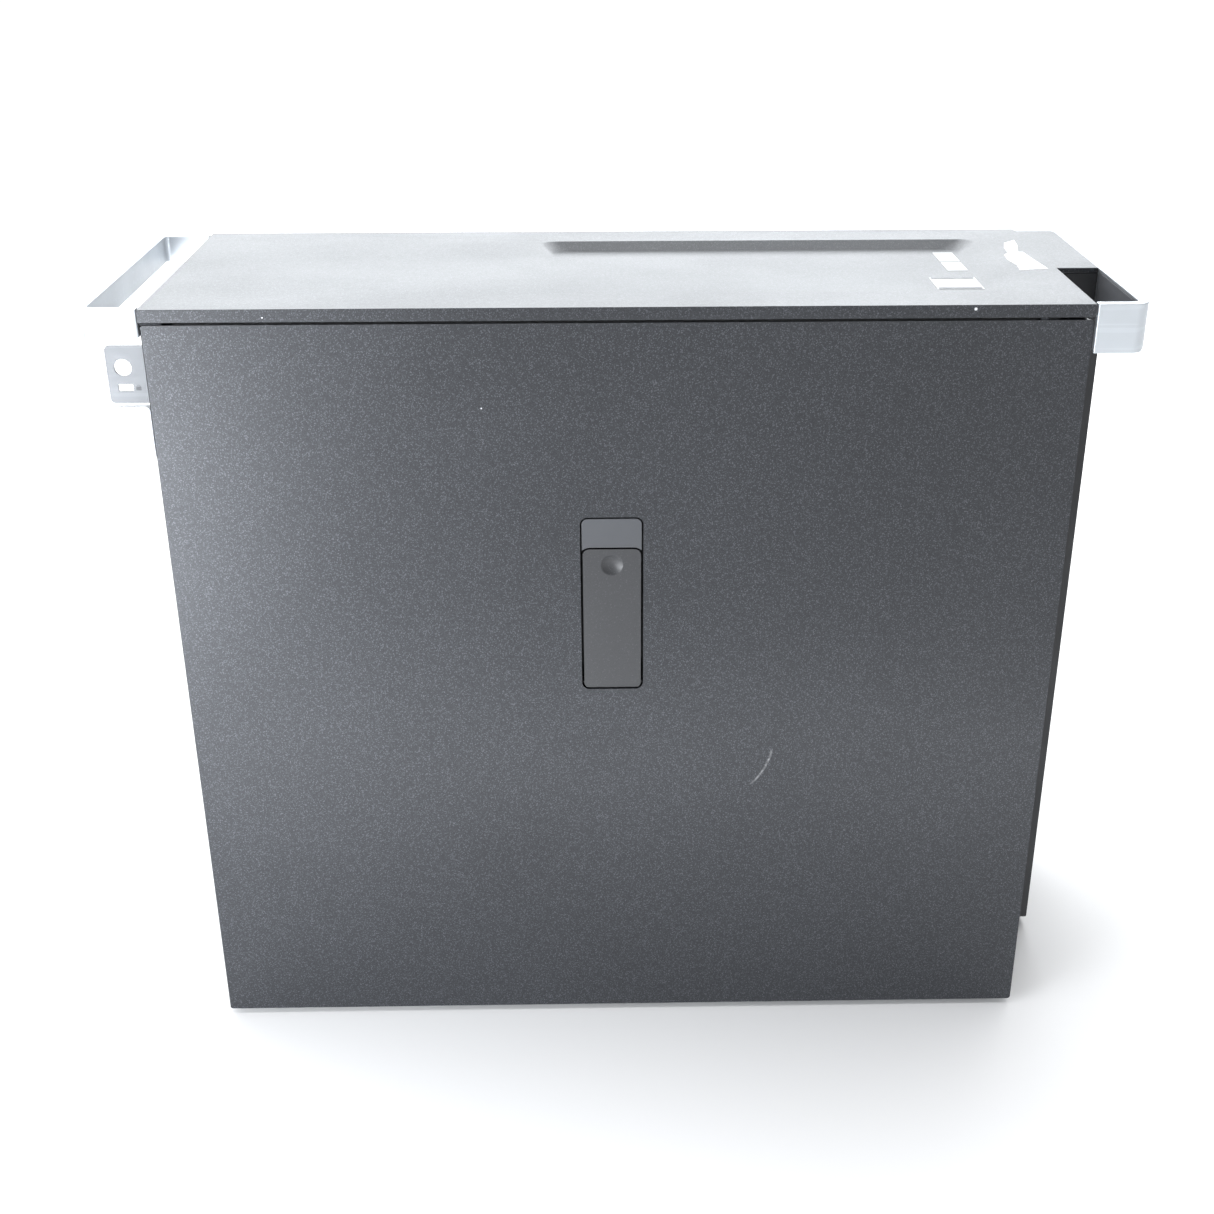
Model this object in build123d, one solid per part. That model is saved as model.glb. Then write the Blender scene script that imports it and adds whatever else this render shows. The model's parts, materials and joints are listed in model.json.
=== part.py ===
"""Workstation tower computer, modelled as separate pieces.

Millimetres. The origin is the middle of the overall box at floor level.
The front faces -Y, the access side (the side with the latch) faces -X, and +Z is up.
"""
import math
import os

from build123d import *

# ---------------------------------------------------------------- overall sizes
WIDTH = 176.5
HEIGHT = 417.9
DEPTH = 518.3
BODY_LENGTH = 461.7
FRONT_REACH = 27.0
COVER_SHEET = 1.2
STEEL = 1.0
PLASTIC = 2.4
FLOOR_GAP = 3.0

NEAR = -WIDTH / 2
FAR = WIDTH / 2
FRONT = -DEPTH / 2
REAR = DEPTH / 2
BODY_FRONT = FRONT + FRONT_REACH
BODY_REAR = BODY_FRONT + BODY_LENGTH

# ---------------------------------------------------------------- covers
PANEL_TOP = 410.2
PANEL_INSET = 0.85
PANEL_FRONT = BODY_FRONT + PANEL_INSET
PANEL_REAR = BODY_REAR - PANEL_INSET
PANEL_FLANGE = 3.0
LIP_BOTTOM = 411.4
MODULE_EDGE = -11.5
MODULE_INNER_FRONT = -254.0
MODULE_INNER_FAR = 82.75
NOTCH_FLANGE = 2.7
TRAY_X = (-60.0, 61.0)
TRAY_Y = (-203.0, 41.0)
TRAY_DEPTH = 4.0
TRAY_SLOPES = {"side": 7.0, "front": 12.0, "rear": 8.0}
TRAY_CORNER = 9.0

# ---------------------------------------------------------------- cover latch
LATCH_Y = 2.9
WINDOW = (32.5, 98.0)
WINDOW_MID_Z = 261.0
WINDOW_CORNER = 4.0
LATCH_GAP = 0.9
LEVER_WIDTH = 30.0
LEVER_Z = (212.5, 292.5)
LEVER_CORNER = 3.5
LEVER_FACE = NEAR + 0.1
LEVER_PLATE = 3.0
LEVER_PIVOT = (-85.0, 216.0)
PIN_R = 1.8
RUNNING_GAP = 0.05
DIMPLE_Z = 283.6
DIMPLE_R = 6.0
DIMPLE_DEPTH = 2.0
HOUSING_WALL = 1.5
HOUSING_DEPTH = 12.5

# ---------------------------------------------------------------- handles
FRONT_HANDLE_Z = 393.5
FRONT_HANDLE_FACE = FRONT + 0.35
FRONT_ARM = 5.5
FRONT_BAR = 4.6
HANDLE_GAP = 0.8
HANDLE_CORNER = 7.0
HANDLE_INNER_CORNER = 3.0
HANDLE_EDGE = 3.5
LINER = 1.2
REAR_HANDLE_Z = 404.2
REAR_HANDLE_FAR = 85.0
REAR_BAR = 4.1
REAR_ARM = 5.5

# ---------------------------------------------------------------- inner frame
FRAME_NEAR = -83.6
FRAME_FAR = FAR - COVER_SHEET
FLOOR_TOP = FLOOR_GAP + STEEL
REAR_WALL = (227.35, 228.35)
FRONT_WALL = (-229.0, -228.0)
WALL_TOP = HEIGHT - TRAY_DEPTH - COVER_SHEET - STEEL
TRAY_WALL = (72.0, 73.0)
SHELF_Z = (95.0, 96.0)
FOOT_R = 9.0
FOOT_X = 68.0
FOOT_Y = 200.0

# ---------------------------------------------------------------- bays
PSU_X = (-79.0, 66.0)
PSU_Y = (62.0, 228.35)
PSU_Z = (6.0, 92.0)
PSU_FAN = (-42.0, 49.0)
PSU_FAN_SIZE = 60.0
INLET = (24.0, 40.0)
DRIVE_BAY_X = (-62.0, 44.0)
DRIVE_BAY_Y = (-222.0, -72.0)
DRIVE_SIZE = (101.6, 147.0, 26.1)
DRIVE_LEVELS = (20.0, 59.0)
DISC_DRIVE_X = 22.0
DISC_DRIVE = (12.7, 126.0, 128.0)
DISC_DRIVE_Z = 252.0
LOWER_FAN = (-20.0, 180.0)
LOWER_FAN_SIZE = 120.0
UPPER_FAN = (-34.0, 306.0)
REAR_FAN = (-30.0, 352.0)
SMALL_FAN_SIZE = 92.0
FAN_DEPTH = 25.0

# ---------------------------------------------------------------- main board
BOARD_X = (65.4, 67.0)
BOARD_Y = (-18.0, 226.0)
BOARD_Z = (104.0, 409.0)
SLOT_PITCH = 20.32
TOP_SLOT_Z = 229.0
SLOT_COUNT = 6
CARD_SLOT = 1
IO_X = (20.0, 64.0)
IO_Z = (246.0, 404.0)
COOLER_MID = (115.0, 332.0)
COOLER_FAN_SIZE = 80.0

HEX_FLATS = 6.4
HEX_BAR = 1.5

# ---------------------------------------------------------------- inner leads
MAIN_LEAD_DIAMETER = 9.0
THIN_LEAD_DIAMETER = 5.0
LARGEST_LEAD_RADIUS = 60.0


# ---------------------------------------------------------------- helpers
def block(x, y, z):
    """A box between two limits on each axis."""
    middle = Pos((x[0] + x[1]) / 2, (y[0] + y[1]) / 2, (z[0] + z[1]) / 2)
    return middle * Box(x[1] - x[0], y[1] - y[0], z[1] - z[0])


def rod_x(x, y, z, radius):
    """A cylinder along X."""
    return Pos((x[0] + x[1]) / 2, y, z) * Rot(0, 90, 0) * Cylinder(radius, x[1] - x[0])


def rod_y(x, y, z, radius):
    """A cylinder along Y."""
    return Pos(x, (y[0] + y[1]) / 2, z) * Rot(90, 0, 0) * Cylinder(radius, y[1] - y[0])


def rod_z(x, y, z, radius):
    """A cylinder along Z."""
    return Pos(x, y, (z[0] + z[1]) / 2) * Cylinder(radius, z[1] - z[0])


def group(solids):
    """Several separate solids as one node."""
    return Compound(children=list(solids))


def slab_x(outline, x):
    """Extrude an outline drawn in Y (first) and Z (second) between two X values."""
    plane = Plane(origin=(x[0], 0, 0), x_dir=(0, 1, 0), z_dir=(1, 0, 0))
    return extrude(plane * outline, x[1] - x[0])


def slab_y(outline, y):
    """Extrude an outline drawn in X (first) and Z (second) between two Y values."""
    plane = Plane(origin=(0, y[1], 0), x_dir=(1, 0, 0), z_dir=(0, -1, 0))
    return extrude(plane * outline, y[1] - y[0])


def slab_z(outline, z):
    """Extrude an outline drawn in X and Y between two Z values."""
    return extrude(Pos(0, 0, z[0]) * outline, z[1] - z[0])


def rect(first, second):
    """A square-cornered rectangle between two limits on each of its two axes."""
    middle = Pos((first[0] + first[1]) / 2, (second[0] + second[1]) / 2)
    return middle * Rectangle(first[1] - first[0], second[1] - second[0])


def round_rect(first, second, radius):
    """A rounded rectangle between two limits on each of its two axes."""
    middle = Pos((first[0] + first[1]) / 2, (second[0] + second[1]) / 2)
    return middle * RectangleRounded(first[1] - first[0], second[1] - second[0], radius)


def hex_centres(first, second, inside):
    """Centres of a honeycomb over a rectangle, kept where inside(a, b) is true."""
    pitch = HEX_FLATS + HEX_BAR
    row = pitch * math.sqrt(3) / 2
    columns = int((first[1] - first[0]) / pitch)
    rows = int((second[1] - second[0]) / row)
    start_a = (first[0] + first[1]) / 2 - (columns - 1) * pitch / 2
    start_b = (second[0] + second[1]) / 2 - (rows - 1) * row / 2
    centres = []
    for j in range(rows):
        shift = pitch / 2 if j % 2 else 0.0
        for i in range(columns):
            a = start_a + i * pitch + shift
            b = start_b + j * row
            if inside(a, b):
                centres.append((a, b))
    return centres


def pierced(outline, centres, others=()):
    """A flat face with a hexagonal hole at each centre and any other hole outlines."""
    radius = HEX_FLATS / math.sqrt(3)
    holes = [(Pos(a, b) * RegularPolygon(radius, 6, rotation=30)).face().outer_wire() for a, b in centres]
    holes += [sketch.face().outer_wire() for sketch in others]
    return Face(outline.face().outer_wire(), holes)


def fan_frame(size, hub_radius):
    """A fan's square frame with its spokes, motor plate and bearing tube; it blows along +Z."""
    bore = size / 2 - 2.0
    frame = slab_z(RectangleRounded(size, size, 5.0), (0, FAN_DEPTH)) - rod_z(0, 0, (-1, FAN_DEPTH + 1), bore)
    for sign_x in (-1, 1):
        for sign_y in (-1, 1):
            hole = rod_z(sign_x * (size / 2 - 5.0), sign_y * (size / 2 - 5.0), (-1, FAN_DEPTH + 1), 2.1)
            frame -= hole
    for turn in (30, 150, 270):
        frame += Rot(0, 0, turn) * block((0, bore + 0.5), (-1.5, 1.5), (0, 2.5))
    frame += rod_z(0, 0, (0, 2.5), hub_radius)
    frame += rod_z(0, 0, (2.5, 15.0), 4.0)
    return frame - rod_z(0, 0, (2.0, 16.0), PIN_R + RUNNING_GAP)


def fan_rotor(size, hub_radius, blades):
    """A fan's hub cup, shaft and blades, in the same place as its frame."""
    tip = size / 2 - 3.2
    hub = rod_z(0, 0, (3.5, 22.5), hub_radius) - rod_z(0, 0, (3.0, 20.5), hub_radius - 1.5)
    rotor = hub + rod_z(0, 0, (4.0, 21.0), PIN_R)
    reach = rod_z(0, 0, (3.5, 22.0), tip) - rod_z(0, 0, (3.0, 23.0), hub_radius - 0.7)
    chord = 2.0 * math.pi * tip / blades * 0.72
    half = Box(tip, chord, 1.4)
    blade = Pos(tip / 2, 0, 12.75) * Rot(38, 0, 0) * half
    for index in range(blades):
        rotor += (Rot(0, 0, index * 360.0 / blades) * blade) & reach
    return rotor


# ---------------------------------------------------------------- outer covers
def ease_module_corner(shape):
    """Round the far front corner of what lies inside the silver band of the module."""
    radius = HANDLE_INNER_CORNER + 0.4
    middle = (MODULE_INNER_FAR - radius, MODULE_INNER_FRONT + radius)
    corner = block((middle[0], FAR), (FRONT, middle[1]), (FRONT_HANDLE_Z - 5, HEIGHT + 1))
    return shape - (corner - rod_z(middle[0], middle[1], (FRONT_HANDLE_Z - 6, HEIGHT + 2), radius - 0.2))


def make_tray_form(top, depth, grow):
    """The tapered form of the shallow tray in the top, from a height down to a depth."""
    outer = round_rect(
        (TRAY_X[0] - grow, TRAY_X[1] + grow),
        (TRAY_Y[0] - grow, TRAY_Y[1] + grow),
        TRAY_CORNER,
    )
    inner = round_rect(
        (TRAY_X[0] + TRAY_SLOPES["side"] - grow, TRAY_X[1] - TRAY_SLOPES["side"] + grow),
        (TRAY_Y[0] + TRAY_SLOPES["front"] - grow, TRAY_Y[1] - TRAY_SLOPES["rear"] + grow),
        TRAY_CORNER,
    )
    return loft([Pos(0, 0, top) * outer, Pos(0, 0, HEIGHT - depth) * inner], ruled=True)


def make_top_cover():
    """Painted top: plate, side and rear lips, notch for the hand and the shallow tray."""
    under = HEIGHT - COVER_SHEET
    plate = block((NEAR, FAR), (BODY_FRONT, BODY_REAR), (under, HEIGHT))
    ahead = block((MODULE_EDGE, MODULE_INNER_FAR - 0.2), (MODULE_INNER_FRONT, BODY_FRONT), (under, HEIGHT))
    plate += ease_module_corner(ahead)
    for x in ((NEAR, NEAR + COVER_SHEET), (FAR - COVER_SHEET, FAR)):
        plate += block(x, (BODY_FRONT, BODY_REAR), (LIP_BOTTOM, under))
    plate += block((NEAR, FAR), (BODY_REAR - COVER_SHEET, BODY_REAR), (LIP_BOTTOM, under))
    turned = HEIGHT - NOTCH_FLANGE
    plate += block((NEAR, MODULE_EDGE), (BODY_FRONT, BODY_FRONT + COVER_SHEET), (turned, under))
    turned_y = (MODULE_INNER_FRONT, BODY_FRONT + COVER_SHEET)
    plate += block((MODULE_EDGE, MODULE_EDGE + COVER_SHEET), turned_y, (turned, under))
    tab_top = LIP_BOTTOM
    tab_bottom = PANEL_TOP + 0.3
    for y in ((-209.3, -205.3), (218.2, 228.7)):
        plate += block((NEAR + 0.1, NEAR + COVER_SHEET), y, (tab_bottom, tab_top))
    plate += make_tray_form(HEIGHT - COVER_SHEET / 2, TRAY_DEPTH + COVER_SHEET, 1.5 * COVER_SHEET)
    return plate - make_tray_form(HEIGHT, TRAY_DEPTH, 0.0)


def make_window():
    """The outline of the latch window, in Y and Z."""
    return round_rect(
        (LATCH_Y - WINDOW[0] / 2, LATCH_Y + WINDOW[0] / 2),
        (WINDOW_MID_Z - WINDOW[1] / 2, WINDOW_MID_Z + WINDOW[1] / 2),
        WINDOW_CORNER,
    )


def make_side_cover():
    """Access cover: sheet with rolled edges, latch window, stiffeners and lower hinge hooks."""
    inner = NEAR + COVER_SHEET
    flange_x = (inner, inner + PANEL_FLANGE)
    sheet = slab_x(round_rect((PANEL_FRONT, PANEL_REAR), (FLOOR_GAP, PANEL_TOP), 1.8), (NEAR, inner))
    sheet += block(flange_x, (PANEL_FRONT, PANEL_FRONT + COVER_SHEET), (14.0, PANEL_TOP - 2.0))
    sheet += block(flange_x, (PANEL_REAR - COVER_SHEET, PANEL_REAR), (14.0, PANEL_TOP - 2.0))
    sheet += block(flange_x, (PANEL_FRONT + 2.0, PANEL_REAR - 2.0), (PANEL_TOP - COVER_SHEET, PANEL_TOP))
    for z in ((118.0, 128.0), (346.0, 356.0)):
        sheet += block((inner, inner + 2.0), (-215.0, 212.0), z)
    return sheet - slab_x(make_window(), (NEAR - 1, inner + 0.5))


def make_far_cover():
    """The fixed cover on the far side."""
    outline = round_rect((PANEL_FRONT, PANEL_REAR), (FLOOR_GAP, PANEL_TOP), 1.8)
    return slab_x(outline, (FAR - COVER_SHEET, FAR))


# ---------------------------------------------------------------- cover latch
def lever_outline(grow):
    """The lever's outline in Y and Z, grown by a gap where asked."""
    return round_rect(
        (LATCH_Y - LEVER_WIDTH / 2 - grow, LATCH_Y + LEVER_WIDTH / 2 + grow),
        (LEVER_Z[0] - grow, LEVER_Z[1] + grow),
        LEVER_CORNER + grow,
    )


def make_latch_housing():
    """The cup behind the window that carries the lever's pin."""
    inner = NEAR + COVER_SHEET
    y = (LATCH_Y - WINDOW[0] / 2 - 3.0, LATCH_Y + WINDOW[0] / 2 + 3.0)
    z = (WINDOW_MID_Z - WINDOW[1] / 2 - 4.0, WINDOW_MID_Z + WINDOW[1] / 2 + 4.0)
    cup = block((inner, inner + HOUSING_DEPTH), y, z)
    cavity_y = (y[0] + HOUSING_WALL, y[1] - HOUSING_WALL)
    cavity_z = (z[0] + HOUSING_WALL, z[1] - HOUSING_WALL)
    cup -= block((inner - 1, inner + HOUSING_DEPTH - HOUSING_WALL), cavity_y, cavity_z)
    return cup - rod_y(LEVER_PIVOT[0], (y[0] - 1, y[1] + 1), LEVER_PIVOT[1], PIN_R + RUNNING_GAP)


def make_latch_lever():
    """Pull lever: face plate with a thumb dimple, side ribs, rounded foot and moulded pin."""
    face = (LEVER_FACE, LEVER_FACE + LEVER_PLATE)
    lever = slab_x(lever_outline(0.0), face)
    half = LEVER_WIDTH / 2
    for y in ((LATCH_Y - half, LATCH_Y - half + 2.0), (LATCH_Y + half - 2.0, LATCH_Y + half)):
        lever += block((face[1], face[1] + 5.0), y, (LEVER_PIVOT[1], LEVER_Z[1] - 4.0))
    foot = rod_y(LEVER_PIVOT[0], (LATCH_Y - half, LATCH_Y + half), LEVER_PIVOT[1], 4.2)
    foot &= slab_x(lever_outline(0.0), (LEVER_FACE, LEVER_FACE + 10.0))
    beside = (LATCH_Y - half - 1, LATCH_Y + half + 1)
    below = block((face[0] - 1, face[1] + 9), beside, (LEVER_Z[0] - 1, LEVER_PIVOT[1]))
    reach = WINDOW[0] / 2 + 3.0
    lever = (lever - below) + foot
    lever += rod_y(LEVER_PIVOT[0], (LATCH_Y - reach, LATCH_Y + reach), LEVER_PIVOT[1], PIN_R)
    ball = (DIMPLE_R ** 2 + DIMPLE_DEPTH ** 2) / (2 * DIMPLE_DEPTH)
    return lever - Pos(face[0] - ball + DIMPLE_DEPTH, LATCH_Y, DIMPLE_Z) * Rot(0, 90, 0) * Sphere(ball)


def make_latch_button():
    """Push tab above the lever, shaped to the window above and to the lever below."""
    opening = round_rect(
        (LATCH_Y - WINDOW[0] / 2 + LATCH_GAP, LATCH_Y + WINDOW[0] / 2 - LATCH_GAP),
        (LEVER_Z[1] - LEVER_CORNER, WINDOW_MID_Z + WINDOW[1] / 2 - LATCH_GAP),
        WINDOW_CORNER - LATCH_GAP,
    )
    low = round_rect(
        (LATCH_Y - WINDOW[0] / 2, LATCH_Y + WINDOW[0] / 2),
        (LEVER_Z[0], LEVER_Z[1] - LEVER_CORNER + 2.9),
        0.5,
    )
    face = slab_x(opening, (NEAR + 0.25, NEAR + 2.75))
    face -= slab_x(lever_outline(0.8), (NEAR - 1, NEAR + 4))
    face -= slab_x(low, (NEAR - 1, NEAR + 4))
    return face + block((NEAR + 2.75, NEAR + 7.5), (LATCH_Y - 4, LATCH_Y + 4), (298.0, 305.0))


def make_latch_spring():
    """Leaf spring on the back of the housing that returns the push tab."""
    back = NEAR + COVER_SHEET + HOUSING_DEPTH - HOUSING_WALL
    strip = block((back - 0.5, back), (LATCH_Y - 12, LATCH_Y + 12), (295.0, 308.0))
    return strip + block((back - 1.1, back - 0.5), (LATCH_Y - 3, LATCH_Y + 3), (299.0, 304.0))


# ---------------------------------------------------------------- handles
def round_low_edge(band, y_edge, inward, low):
    """Round the free lower edge of a handle along X; inward is the way to the body."""
    middle = (y_edge + inward * HANDLE_EDGE, low + HANDLE_EDGE)
    y = sorted((y_edge - inward, middle[0]))
    corner = block((NEAR - 1, FAR + 1), y, (low - 1, middle[1]))
    return band - (corner - rod_x((NEAR - 2, FAR + 2), middle[0], middle[1], HANDLE_EDGE))


def plan_band(x, y, arm, bar, bar_at_front):
    """A U-shaped band in plan: two arms and a bar, rounded at its corners."""
    outer = round_rect(x, y, HANDLE_CORNER)
    inner_y = (y[0] + bar, y[1] + 50.0) if bar_at_front else (y[0] - 50.0, y[1] - bar)
    inner = round_rect((x[0] + arm, x[1] - arm), inner_y, HANDLE_INNER_CORNER)
    square_y = (y[0] + 12.0, y[1]) if bar_at_front else (y[0], y[1] - 12.0)
    return (outer + rect(x, square_y)) - inner


def make_front_band():
    """The whole silver band across the front, before it is cut into its two pieces."""
    y = (FRONT_HANDLE_FACE, BODY_FRONT - HANDLE_GAP)
    plan = plan_band((NEAR, FAR), y, FRONT_ARM, FRONT_BAR, True)
    band = slab_z(plan, (FRONT_HANDLE_Z, HEIGHT))
    return round_low_edge(band, y[0], 1, FRONT_HANDLE_Z)


def make_liner():
    """Dark grip lining inside the front handle."""
    y = (FRONT_HANDLE_FACE + FRONT_BAR - LINER, BODY_FRONT - HANDLE_GAP)
    plan = plan_band((NEAR + FRONT_ARM - LINER, FAR), y, LINER, LINER, True)
    keep = block((NEAR, MODULE_EDGE - 0.2), (FRONT, BODY_FRONT), (FRONT_HANDLE_Z + 1.5, HEIGHT - 2.0))
    return slab_z(plan, (FRONT_HANDLE_Z + 1.5, HEIGHT - 2.0)) & keep


def make_front_handle():
    """Silver handle over the hand opening."""
    half = block((NEAR, MODULE_EDGE - 0.2), (FRONT, BODY_FRONT), (0, HEIGHT))
    return (make_front_band() & half) - make_liner()


def make_module_trim():
    """Silver trim that carries the band round the front module."""
    half = block((MODULE_EDGE, FAR), (FRONT, BODY_FRONT), (0, HEIGHT))
    return make_front_band() & half


def make_rear_handle():
    """Silver loop handle behind the top, with two feet on the rear wall."""
    y = (BODY_REAR + 0.5, REAR)
    plan = plan_band((NEAR, REAR_HANDLE_FAR), y, REAR_ARM, REAR_BAR, False)
    loop = round_low_edge(slab_z(plan, (REAR_HANDLE_Z, HEIGHT)), y[1], -1, REAR_HANDLE_Z)
    for x in ((FRAME_NEAR + 0.2, FRAME_NEAR + 12.0), (REAR_HANDLE_FAR - 12.0, REAR_HANDLE_FAR - 0.2)):
        loop += block(x, (REAR_WALL[1], y[0] + 2.5), (REAR_HANDLE_Z, LIP_BOTTOM - 0.6))
    return loop


# ---------------------------------------------------------------- front module
def make_front_column():
    """Plastic shell of the protruding front module, with its neck behind the silver trim."""
    low = FLOOR_GAP + 2.5
    top = FRONT_HANDLE_Z - 0.2
    back = PANEL_FRONT - 0.2
    outline = round_rect((MODULE_EDGE, FAR), (low, top), 3.0)
    shell = slab_y(outline, (FRONT, back))
    hollow = ((MODULE_EDGE + PLASTIC, FAR - PLASTIC), (FRONT + PLASTIC, back + 1), (low + PLASTIC, top + 1))
    neck_top = HEIGHT - NOTCH_FLANGE - 0.2
    neck = block((MODULE_EDGE + 0.2, MODULE_INNER_FAR - 0.2), (MODULE_INNER_FRONT + 0.1, back), (top - 5, neck_top))
    shell = (shell + ease_module_corner(neck)) - block(*hollow)
    shell -= block(
        (MODULE_EDGE + PLASTIC, MODULE_INNER_FAR - PLASTIC),
        (MODULE_INNER_FRONT + PLASTIC, back + 1),
        (top - 6, neck_top - PLASTIC),
    )
    for x in (MODULE_EDGE + 8.0, FAR - 10.0):
        for z in (18.0, 244.0):
            shell += rod_y(x, (FRONT + PLASTIC, FRONT_WALL[0]), z, 3.0)
    front = (FRONT - 1, FRONT + PLASTIC + 1)
    drive_z = (DISC_DRIVE_Z - 0.4, DISC_DRIVE_Z + DISC_DRIVE[2] + 0.4)
    half_drive = DISC_DRIVE[0] / 2 + 0.4
    shell -= block((DISC_DRIVE_X - half_drive, DISC_DRIVE_X + half_drive), front, drive_z)
    shell -= slab_y(round_rect((55.6, 76.4), (262.6, 346.4), 2.0), front)
    shell -= rod_y(66.0, front, 368.0, 9.0)
    return shell - slab_y(round_rect((0.0, 77.0), (28.0, 234.0), 4.0), front)


def make_column_grille():
    """Honeycomb grille behind the module's lower window."""
    centres = hex_centres((1.0, 76.0), (29.0, 233.0), lambda a, b: a < 73.0)
    face = pierced(round_rect((-3.0, 80.0), (25.0, 237.0), 2.0), centres)
    return slab_y(face, (FRONT + PLASTIC, FRONT + PLASTIC + 1.2))


def make_recess_bezel():
    """Plastic frame of the recessed half of the front."""
    x = (FRAME_NEAR, MODULE_EDGE - 0.2)
    frame = slab_y(round_rect(x, (6.0, 392.5), 3.0), (BODY_FRONT + 0.05, -230.2))
    return frame - slab_y(round_rect((x[0] + 5, x[1] - 5), (13.0, 385.0), 5.0), (BODY_FRONT - 1, -229))


def make_recess_grille():
    """Honeycomb grille of the recessed half."""
    x = (FRAME_NEAR + 2, MODULE_EDGE - 2.2)
    centres = hex_centres((x[0] + 4, x[1] - 4), (15.0, 383.0), lambda a, b: a < x[1] - 7.0)
    return slab_y(pierced(round_rect(x, (9.0, 389.0), 2.0), centres), (-230.2, FRONT_WALL[0]))


def make_power_button():
    """Round power button with a collar behind the front wall."""
    button = rod_y(66.0, (FRONT + 0.4, FRONT + 6.0), 368.0, 8.6)
    button += rod_y(66.0, (FRONT + PLASTIC + 1.4, FRONT + 6.0), 368.0, 10.0)
    return button - Pos(66.0, FRONT + 0.4 - 29.2, 368.0) * Sphere(30.0)


def make_front_ports():
    """Port strip: four square-mouthed sockets and a round audio jack in one frame."""
    strip = slab_y(round_rect((56.0, 76.0), (263.0, 346.0), 1.6), (FRONT + 0.6, FRONT + 12.0))
    for z in (334.0, 318.0):
        strip -= block((59.3, 72.7), (FRONT, FRONT + 10.0), (z - 2.9, z + 2.9))
        strip += block((60.5, 71.5), (FRONT + 1.4, FRONT + 10.0), (z - 0.3, z + 1.6))
    for z in (303.0, 290.0):
        strip -= slab_y(round_rect((61.4, 70.6), (z - 1.7, z + 1.7), 1.6), (FRONT, FRONT + 9.0))
        strip += block((62.9, 69.1), (FRONT + 1.6, FRONT + 9.0), (z - 0.35, z + 0.35))
    return strip - rod_y(66.0, (FRONT, FRONT + 10.0), 273.0, 1.85)


def make_io_board():
    """Small circuit board behind the front ports and the power button."""
    board = block((50.0, 80.0), (FRONT + 12.0, FRONT + 13.6), (258.0, 380.0))
    return board + block((62.0, 70.0), (FRONT + 8.2, FRONT + 12.0), (364.0, 372.0))


def make_disc_drive_case():
    """Slim disc drive stood on edge: steel case with an open front."""
    x = (DISC_DRIVE_X - DISC_DRIVE[0] / 2, DISC_DRIVE_X + DISC_DRIVE[0] / 2)
    y = (FRONT + 4.5, FRONT + 4.5 + DISC_DRIVE[1])
    z = (DISC_DRIVE_Z, DISC_DRIVE_Z + DISC_DRIVE[2])
    case = block(x, y, z)
    inside = ((x[0] + 0.8, x[1] - 0.8), (y[0] - 1, y[1] - 2.0), (z[0] + 0.8, z[1] - 0.8))
    return case - block(*inside)


def make_disc_tray():
    """Disc tray and its front plate, with a round well for the disc."""
    x = (DISC_DRIVE_X - 4.0, DISC_DRIVE_X + 4.0)
    z = (DISC_DRIVE_Z + 2.5, DISC_DRIVE_Z + DISC_DRIVE[2] - 2.5)
    tray = block(x, (FRONT + 3.0, FRONT + 125.0), z)
    middle = DISC_DRIVE_Z + DISC_DRIVE[2] / 2
    tray -= rod_x((x[0] - 1, x[1] - 2.0), FRONT + 66.0, middle, 60.2)
    tray += rod_x((x[0] + 1.0, x[1] - 1.0), FRONT + 66.0, middle, 7.5)
    half = DISC_DRIVE[0] / 2
    plate = round_rect((DISC_DRIVE_X - half, DISC_DRIVE_X + half), (DISC_DRIVE_Z, z[1] + 2.5), 1.2)
    tray += slab_y(plate, (FRONT + 0.3, FRONT + 3.2))
    return tray - slab_y(round_rect((DISC_DRIVE_X - 3.0, DISC_DRIVE_X + 3.0), (266.0, 278.0), 2.6), (FRONT, FRONT + 9))


def make_eject_button():
    """Eject button in the disc tray's front plate."""
    outline = round_rect((DISC_DRIVE_X - 2.7, DISC_DRIVE_X + 2.7), (266.3, 277.7), 2.4)
    return slab_y(outline, (FRONT + 0.05, FRONT + 5.0))


# ---------------------------------------------------------------- inner frame
def make_base_pan():
    """Floor of the case with a turned-up edge along the access side."""
    pan = block((FRAME_NEAR, FRAME_FAR), (FRONT_WALL[0], REAR_WALL[1]), (FLOOR_GAP, FLOOR_TOP))
    return pan + block((FRAME_NEAR, FRAME_NEAR + STEEL), (FRONT_WALL[1], PSU_Y[0] - 4), (FLOOR_TOP, 12.0))


def make_feet():
    """Four rubber feet."""
    feet = []
    for x in (-FOOT_X, FOOT_X):
        for y in (-FOOT_Y, FOOT_Y):
            feet.append(rod_z(x, y, (0, FLOOR_GAP), FOOT_R))
    return group(feet)


def slot_z(index):
    """Height of an expansion slot's middle."""
    return TOP_SLOT_Z - index * SLOT_PITCH


def make_rear_wall():
    """Rear wall with the supply bay, fan guard, port aperture and card slots."""
    outline = rect((FRAME_NEAR, FRAME_FAR), (FLOOR_TOP, WALL_TOP))
    reach = SMALL_FAN_SIZE / 2 - 4.0
    centres = hex_centres(
        (REAR_FAN[0] - reach, REAR_FAN[0] + reach),
        (REAR_FAN[1] - reach, REAR_FAN[1] + reach),
        lambda a, b: math.hypot(a - REAR_FAN[0], b - REAR_FAN[1]) < reach - 3.0,
    )
    wall = slab_y(pierced(outline, centres), REAR_WALL)
    y = (REAR_WALL[0] - 1, REAR_WALL[1] + 1)
    wall -= block((PSU_X[0] - 0.5, PSU_X[1] + 0.5), y, (PSU_Z[0] - 0.5, PSU_Z[1] + 0.5))
    wall -= block(IO_X, y, IO_Z)
    for index in range(SLOT_COUNT):
        middle = slot_z(index)
        wall -= block((-42.0, 56.0), y, (middle - 6.3, middle + 6.3))
    return wall - block((FRAME_NEAR - 1, FRAME_NEAR + COVER_SHEET + 0.1), y, (370.0, 399.8))


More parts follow.
